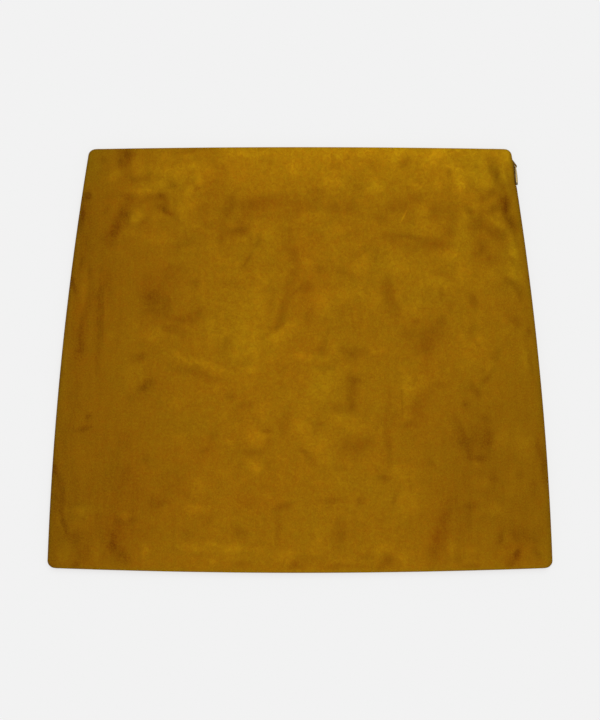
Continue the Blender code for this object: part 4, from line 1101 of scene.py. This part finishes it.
def settled(piece):
    """A piece's mesh with its modifiers made part of it."""
    view = bpy.context.evaluated_depsgraph_get()
    return bpy.data.meshes.new_from_object(piece.evaluated_get(view), depsgraph=view)


def path_piece(name, points):
    """A line of edges for a row of small parts to follow."""
    data = bpy.data.meshes.new(name)
    edges = [(i, i + 1) for i in range(len(points) - 1)]
    data.from_pydata([tuple(point) for point in points], edges, [])
    return add_object(name, data)


class Repeat:
    """A node tree that sets one small rounded bar after another along a line of edges."""

    SIZES = ("pitch", "bar length", "bar width", "bar height", "lean", "stagger")

    def __init__(self, name, finish):
        self.tree = bpy.data.node_groups.new(name, "GeometryNodeTree")
        face = self.tree.interface
        face.new_socket("Geometry", in_out="INPUT", socket_type="NodeSocketGeometry")
        self.sockets = {
            size: face.new_socket(size, in_out="INPUT", socket_type="NodeSocketFloat").identifier
            for size in self.SIZES
        }
        face.new_socket("Geometry", in_out="OUTPUT", socket_type="NodeSocketGeometry")
        self.build(finish)

    def add(self, kind, settings=None, sockets=None):
        made = self.tree.nodes.new(kind)
        for name, value in (settings or {}).items():
            setattr(made, name, value)
        for name, value in (sockets or {}).items():
            if isinstance(value, bpy.types.NodeSocket):
                self.tree.links.new(value, made.inputs[name])
            else:
                made.inputs[name].default_value = value
        return made.outputs

    def build(self, finish):
        given = self.add("NodeGroupInput")
        line = self.add("GeometryNodeMeshToCurve", {}, {0: given["Geometry"]})["Curve"]
        spacing = {"Curve": line, "Length": given["pitch"]}
        even = self.add("GeometryNodeResampleCurve", {"mode": "LENGTH"}, spacing)["Curve"]
        bar = self.add("GeometryNodeMeshIcoSphere", {}, {"Radius": 0.5, "Subdivisions": 2})["Mesh"]
        sizes = {"X": given["bar length"], "Y": given["bar width"], "Z": given["bar height"]}
        size = self.add("ShaderNodeCombineXYZ", {}, sizes)["Vector"]
        tangent = self.add("GeometryNodeInputTangent")["Tangent"]
        turn = self.add("FunctionNodeAlignRotationToVector", {"axis": "Y"}, {"Vector": tangent})
        index = self.add("GeometryNodeInputIndex")["Index"]
        odd = self.add("ShaderNodeMath", {"operation": "MODULO"}, {0: index, 1: 2.0})["Value"]
        doubled = {"operation": "MULTIPLY_ADD"}
        sign = self.add("ShaderNodeMath", doubled, {0: odd, 1: 2.0, 2: -1.0})["Value"]
        swing = {0: sign, 1: given["stagger"]}
        shift = self.add("ShaderNodeMath", {"operation": "MULTIPLY"}, swing)["Value"]
        offset = self.add("ShaderNodeCombineXYZ", {}, {"Z": shift})["Vector"]
        moved = self.add("GeometryNodeSetPosition", {}, {"Geometry": even, "Offset": offset})
        tilt = self.add("ShaderNodeCombineXYZ", {}, {"Y": given["lean"]})["Vector"]
        turns = {"Rotation": turn["Rotation"], "Rotate By": tilt}
        leaned = self.add("FunctionNodeRotateRotation", {"rotation_space": "LOCAL"}, turns)
        bars = {"Points": moved["Geometry"], "Instance": bar, "Scale": size}
        bars["Rotation"] = leaned["Rotation"]
        placed = self.add("GeometryNodeInstanceOnPoints", {}, bars)["Instances"]
        solid = self.add("GeometryNodeRealizeInstances", {}, {"Geometry": placed})["Geometry"]
        smooth = self.add("GeometryNodeSetShadeSmooth", {}, {"Geometry": solid})["Geometry"]
        covered = {"Geometry": smooth, "Material": finish}
        dressed = self.add("GeometryNodeSetMaterial", {}, covered)["Geometry"]
        self.add("NodeGroupOutput", {}, {"Geometry": dressed})

    def along(self, name, points, **sizes):
        """A plain mesh of bars along some points."""
        guide = path_piece(name + "_guide", points)
        modifier = guide.modifiers.new("bars", "NODES")
        modifier.node_group = self.tree
        for size, value in sizes.items():
            modifier[self.sockets[size.replace("_", " ")]] = value
        data = settled(guide)
        bpy.data.objects.remove(guide, do_unlink=True)
        return add_object(name, data)


def seam_line(side, first, last, setback):
    """Points along a side seam at half height, a setback inside the skirt's edge."""
    down = np.linspace(first, last, SEAM_POINTS)
    across = side * (half_width(side, down) - setback)
    return np.stack([across, along(across, down), np.full_like(down, MID)], axis=1)


def pull_tab(finish):
    """The pull tab: a rounded tongue, thin at its loop and thicker towards its foot."""
    narrow, wide = PULL_HALF_WIDTH
    along, across, half = np.array(PULL_SHAPE).T * MM
    bow = np.polyfit(along, across, 3)
    swell = np.polyfit(along, half, 3)
    round_start = PULL_LENGTH - wide
    rows = []
    for angle in np.radians(PULL_HEAD_ANGLES):
        width = narrow - PULL_HEAD_NARROWING * (1.0 - math.cos(angle))
        rows.append((PIN_RADIUS * math.sin(angle), PIN_RADIUS * math.cos(angle), width))
    for share in np.linspace(0.0, 1.0, PULL_ROWS):
        y = -PIN_RADIUS - (round_start - PIN_RADIUS) * share
        rows.append((y, np.polyval(swell, y), narrow + (wide - narrow) * share))
    foot_half = np.polyval(swell, -round_start)
    for angle in np.radians(PULL_FOOT_ANGLES):
        y = -round_start - wide * math.sin(angle)
        blunt = math.cos(angle) ** PULL_FOOT_BLUNTNESS
        rows.append((y, foot_half * blunt, wide * math.cos(angle)))
    turns = np.radians(np.arange(PULL_SIDES) * 360.0 / PULL_SIDES + 90.0)
    sides = np.sign(np.cos(turns)) * np.abs(np.cos(turns)) ** PULL_SQUARENESS
    upward = np.sign(np.sin(turns)) * np.abs(np.sin(turns)) ** PULL_SQUARENESS
    points = []
    for y, thickness, width in rows:
        x = PIN_X + np.polyval(bow, min(y, 0.0)) + thickness * sides
        points.append(np.stack([x, np.full_like(x, PIN_Y + y), MID + width * upward], axis=1))
    points = np.stack(points)
    piece = add_piece("pull_tab", points, tube_faces(*points.shape[:2]), finish)
    top, foot = PULL_WINDOW
    low = (-2.0 * MM, -foot, -PULL_WINDOW_HALF)
    high = (2.0 * MM, -top, PULL_WINDOW_HALF)
    window = block(low, high, 0.5 * MM, "X")
    bmesh.ops.translate(window, verts=window.verts, vec=(PIN_X, PIN_Y, MID))
    combine(piece, window, "DIFFERENCE")
    return soften(piece)


def block(low, high, rounded, along_axis=None):
    """A box between two corners, with all of its edges rounded or only those along one axis."""
    made = bmesh.new()
    bmesh.ops.create_cube(made, size=1.0)
    size = [top - bottom for bottom, top in zip(low, high)]
    bmesh.ops.scale(made, verts=made.verts, vec=size)
    centre = [(top + bottom) / 2.0 for bottom, top in zip(low, high)]
    bmesh.ops.translate(made, verts=made.verts, vec=centre)
    edges = list(made.edges)
    if along_axis:
        axis = "XYZ".index(along_axis)
        runs = [abs(edge.verts[0].co[axis] - edge.verts[1].co[axis]) for edge in edges]
        edges = [edge for edge, run in zip(edges, runs) if run > 1e-6]
    bmesh.ops.bevel(made, geom=edges, offset=rounded, segments=4, profile=0.5, affect="EDGES")
    return made


def combine(piece, mesh, operation):
    """Joins a mesh to a piece or cuts it out of it."""
    tool = add_object("shape", mesh_data("shape", mesh))
    change = piece.modifiers.new("shape", "BOOLEAN")
    change.operation = operation
    change.solver = "EXACT"
    change.object = tool
    data = settled(piece)
    piece.modifiers.clear()
    piece.data = data
    bpy.data.objects.remove(tool, do_unlink=True)


def soften(piece):
    """Splits a small hard piece into triangles and rounds its shading, with its corners kept."""
    made = bmesh.new()
    made.from_mesh(piece.data)
    bmesh.ops.triangulate(made, faces=made.faces[:], ngon_method="BEAUTY")
    made.to_mesh(piece.data)
    made.free()
    piece.data.shade_smooth()
    piece.data.set_sharp_from_angle(angle=math.radians(HARD_SMOOTH_BELOW))
    return piece


def slider(finish):
    """The slider: its body inside the seam, its bail, and the back that stands beside the cloth,
    ending below the body in a dark tail that stands in for shadow in the seam's gap.
    """
    inner_x = SLIDER_BODY[1][0] - BAIL_INNER_STEP
    under = PIN_Y - BAIL_RADIUS
    outline = [(inner_x, under - BAIL_FOOT_INSIDE)]
    outline += [(x * MM, under + y * MM) for x, y in BAIL_FOOT_WITH_SHADOW_TAIL]
    for angle in np.radians(range(-80, 41, 8)):
        x = PIN_X + BAIL_RADIUS * math.cos(angle)
        outline.append((x, PIN_Y + BAIL_RADIUS * math.sin(angle)))
    outline.append((inner_x + BAIL_NOSE_SLANT, PIN_Y + BAIL_NOSE_RISE))
    outline.append((inner_x, PIN_Y + BAIL_NOSE_RISE))
    centre = np.array([inner_x + BAIL_MIDDLE[0], PIN_Y + BAIL_MIDDLE[1]])
    layers = []
    for height, bevel in BAIL_LAYERS:
        ring = []
        for corner in outline:
            away = np.array(corner) - centre
            place = centre + away * (1.0 - BAIL_BEVEL * bevel / np.linalg.norm(away))
            thin = np.clip((BAIL_THIN_FROM - place[1]) / BAIL_THIN_OVER, 0.0, 1.0)
            ring.append((*place, MID + height * (BAIL_HALF_WIDTH - BAIL_THINNER_BY * thin)))
        layers.append(ring)
    sides = len(outline)
    above = (len(layers) - 1) * sides
    ends = [tuple(range(sides))[::-1], tuple(range(above, above + sides))]
    piece = add_piece("slider", layers, ends + tube_sides(len(layers), sides), finish)
    low = (*SLIDER_BODY[0], MID - SLIDER_BODY_HALF)
    high = (*SLIDER_BODY[1], MID + SLIDER_BODY_HALF)
    combine(piece, block(low, high, 0.5 * MM), "UNION")
    hole = bmesh.new()
    round_hole = {"segments": 32, "radius1": BAIL_HOLE, "radius2": BAIL_HOLE, "depth": 4.0 * MM}
    bmesh.ops.create_cone(hole, cap_ends=True, **round_hole)
    bmesh.ops.translate(hole, verts=hole.verts, vec=(PIN_X, PIN_Y, MID))
    combine(piece, hole, "DIFFERENCE")
    return soften(piece)


def camera():
    """Straight above the skirt, taking in 626 mm from top to bottom."""
    distance = 1.8
    seen = 0.6263
    film = 36.0
    data = bpy.data.cameras.new("camera")
    data.sensor_fit = "VERTICAL"
    data.sensor_width = film
    data.sensor_height = film
    data.lens = film * distance / seen
    made = add_object("camera", data)
    made.location = (0.0, 0.0, MID + distance)
    bpy.context.scene.camera = made


def studio():
    """A pale floor under a soft sky and one broad light."""
    scene = bpy.context.scene
    scene.view_settings.view_transform = "Standard"
    scene.view_settings.look = "None"
    grid = bmesh.new()
    bmesh.ops.create_grid(grid, x_segments=1, y_segments=1, size=3.0)
    bmesh.ops.translate(grid, verts=grid.verts, vec=(0.0, 0.0, -FLOOR_BELOW))
    made = add_object("floor", mesh_data("floor", grid))
    finish = Finish("pale_floor")
    grey = (FLOOR_GREY, FLOOR_GREY, FLOOR_GREY, 1.0)
    finish.constants(Base_Color=grey, Roughness=1.0, Specular_IOR_Level=0.0)
    finish.constants(Emission_Color=(1.0, 1.0, 1.0, 1.0), Emission_Strength=FLOOR_GLOW)
    made.data.materials.append(finish.material)

    sun = bpy.data.lights.new("broad_light", "SUN")
    sun.energy = SUN_STRENGTH
    sun.angle = math.radians(SUN_SPREAD)
    lamp = add_object("broad_light", sun)
    lamp.rotation_euler = (math.radians(SUN_TURN[0]), math.radians(SUN_TURN[1]), 0.0)

    world = bpy.data.worlds.new("studio")
    scene.world = world
    world.use_nodes = True
    tree = world.node_tree
    back = tree.nodes["Background"]
    back.inputs["Color"].default_value = (1.0, 1.0, 1.0, 1.0)
    seen = tree.nodes.new("ShaderNodeLightPath").outputs["Is Camera Ray"]
    level = Wire(tree, seen) * SKY_SEEN + SKY_LIGHT
    join(tree, back.inputs["Strength"], level)


def dress():
    """Makes every piece and says what it stands for and moves with."""
    camera()
    studio()
    front_nap = suede_finish("front_suede_nap", (0.0, 0.0, 0.0), FINE_LINES)
    front = suede_panel("front_suede", 1, front_nap)
    back = suede_panel("back_suede", -1, suede_finish("back_suede_nap", (0.61, 0.37, 0.13)))
    woven = tape_finish()
    thread = thread_finish()
    tapes = [zip_tape("front_tape", 1, woven), zip_tape("back_tape", -1, woven)]
    bars = Repeat("row_of_bars", thread)
    coil = bars.along(
        "zip_coil",
        seam_line(1, SLIDER_FOOT + 1.0 * MM, ZIP_END, COIL_SETBACK),
        pitch=0.75 * MM,
        bar_length=1.7 * MM,
        bar_width=0.52 * MM,
        bar_height=0.62 * MM,
        lean=0.35,
        stagger=0.10 * MM,
    )
    stitch = {
        "pitch": 2.8 * MM,
        "bar_length": 0.42 * MM,
        "bar_width": 0.36 * MM,
        "bar_height": 1.3 * MM,
        "lean": 0.0,
        "stagger": 0.0,
    }
    hem_end = LENGTH - THREAD_SHORT
    plain_line = seam_line(-1, THREAD_SHORT, hem_end, THREAD_SETBACK)
    zip_line = seam_line(1, ZIP_END + 1.0 * MM, hem_end, THREAD_SETBACK)
    plain_seam = bars.along("plain_seam_thread", plain_line, **stitch)
    zip_seam = bars.along("zip_seam_thread", zip_line, **stitch)
    tab = pull_tab(pull_finish())

    for piece, node in ((front, "front_panel"), (back, "back_panel")):
        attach(piece, "skirt")
        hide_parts(node)
    for piece, node in zip(tapes, ("zip_tape_front", "zip_tape_back")):
        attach(piece, "skirt")
        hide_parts(node)
    for piece in (coil, plain_seam, zip_seam):
        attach(piece, "skirt")
    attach(tab, "pull")
    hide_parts("zip_pull")
    body = slider(lacquer_finish())
    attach(body, "skirt")
    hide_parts("zip_slider")

    area = 2.0 * LENGTH * float(np.mean(side_line(np.linspace(0.0, LENGTH, 400))))


dress()
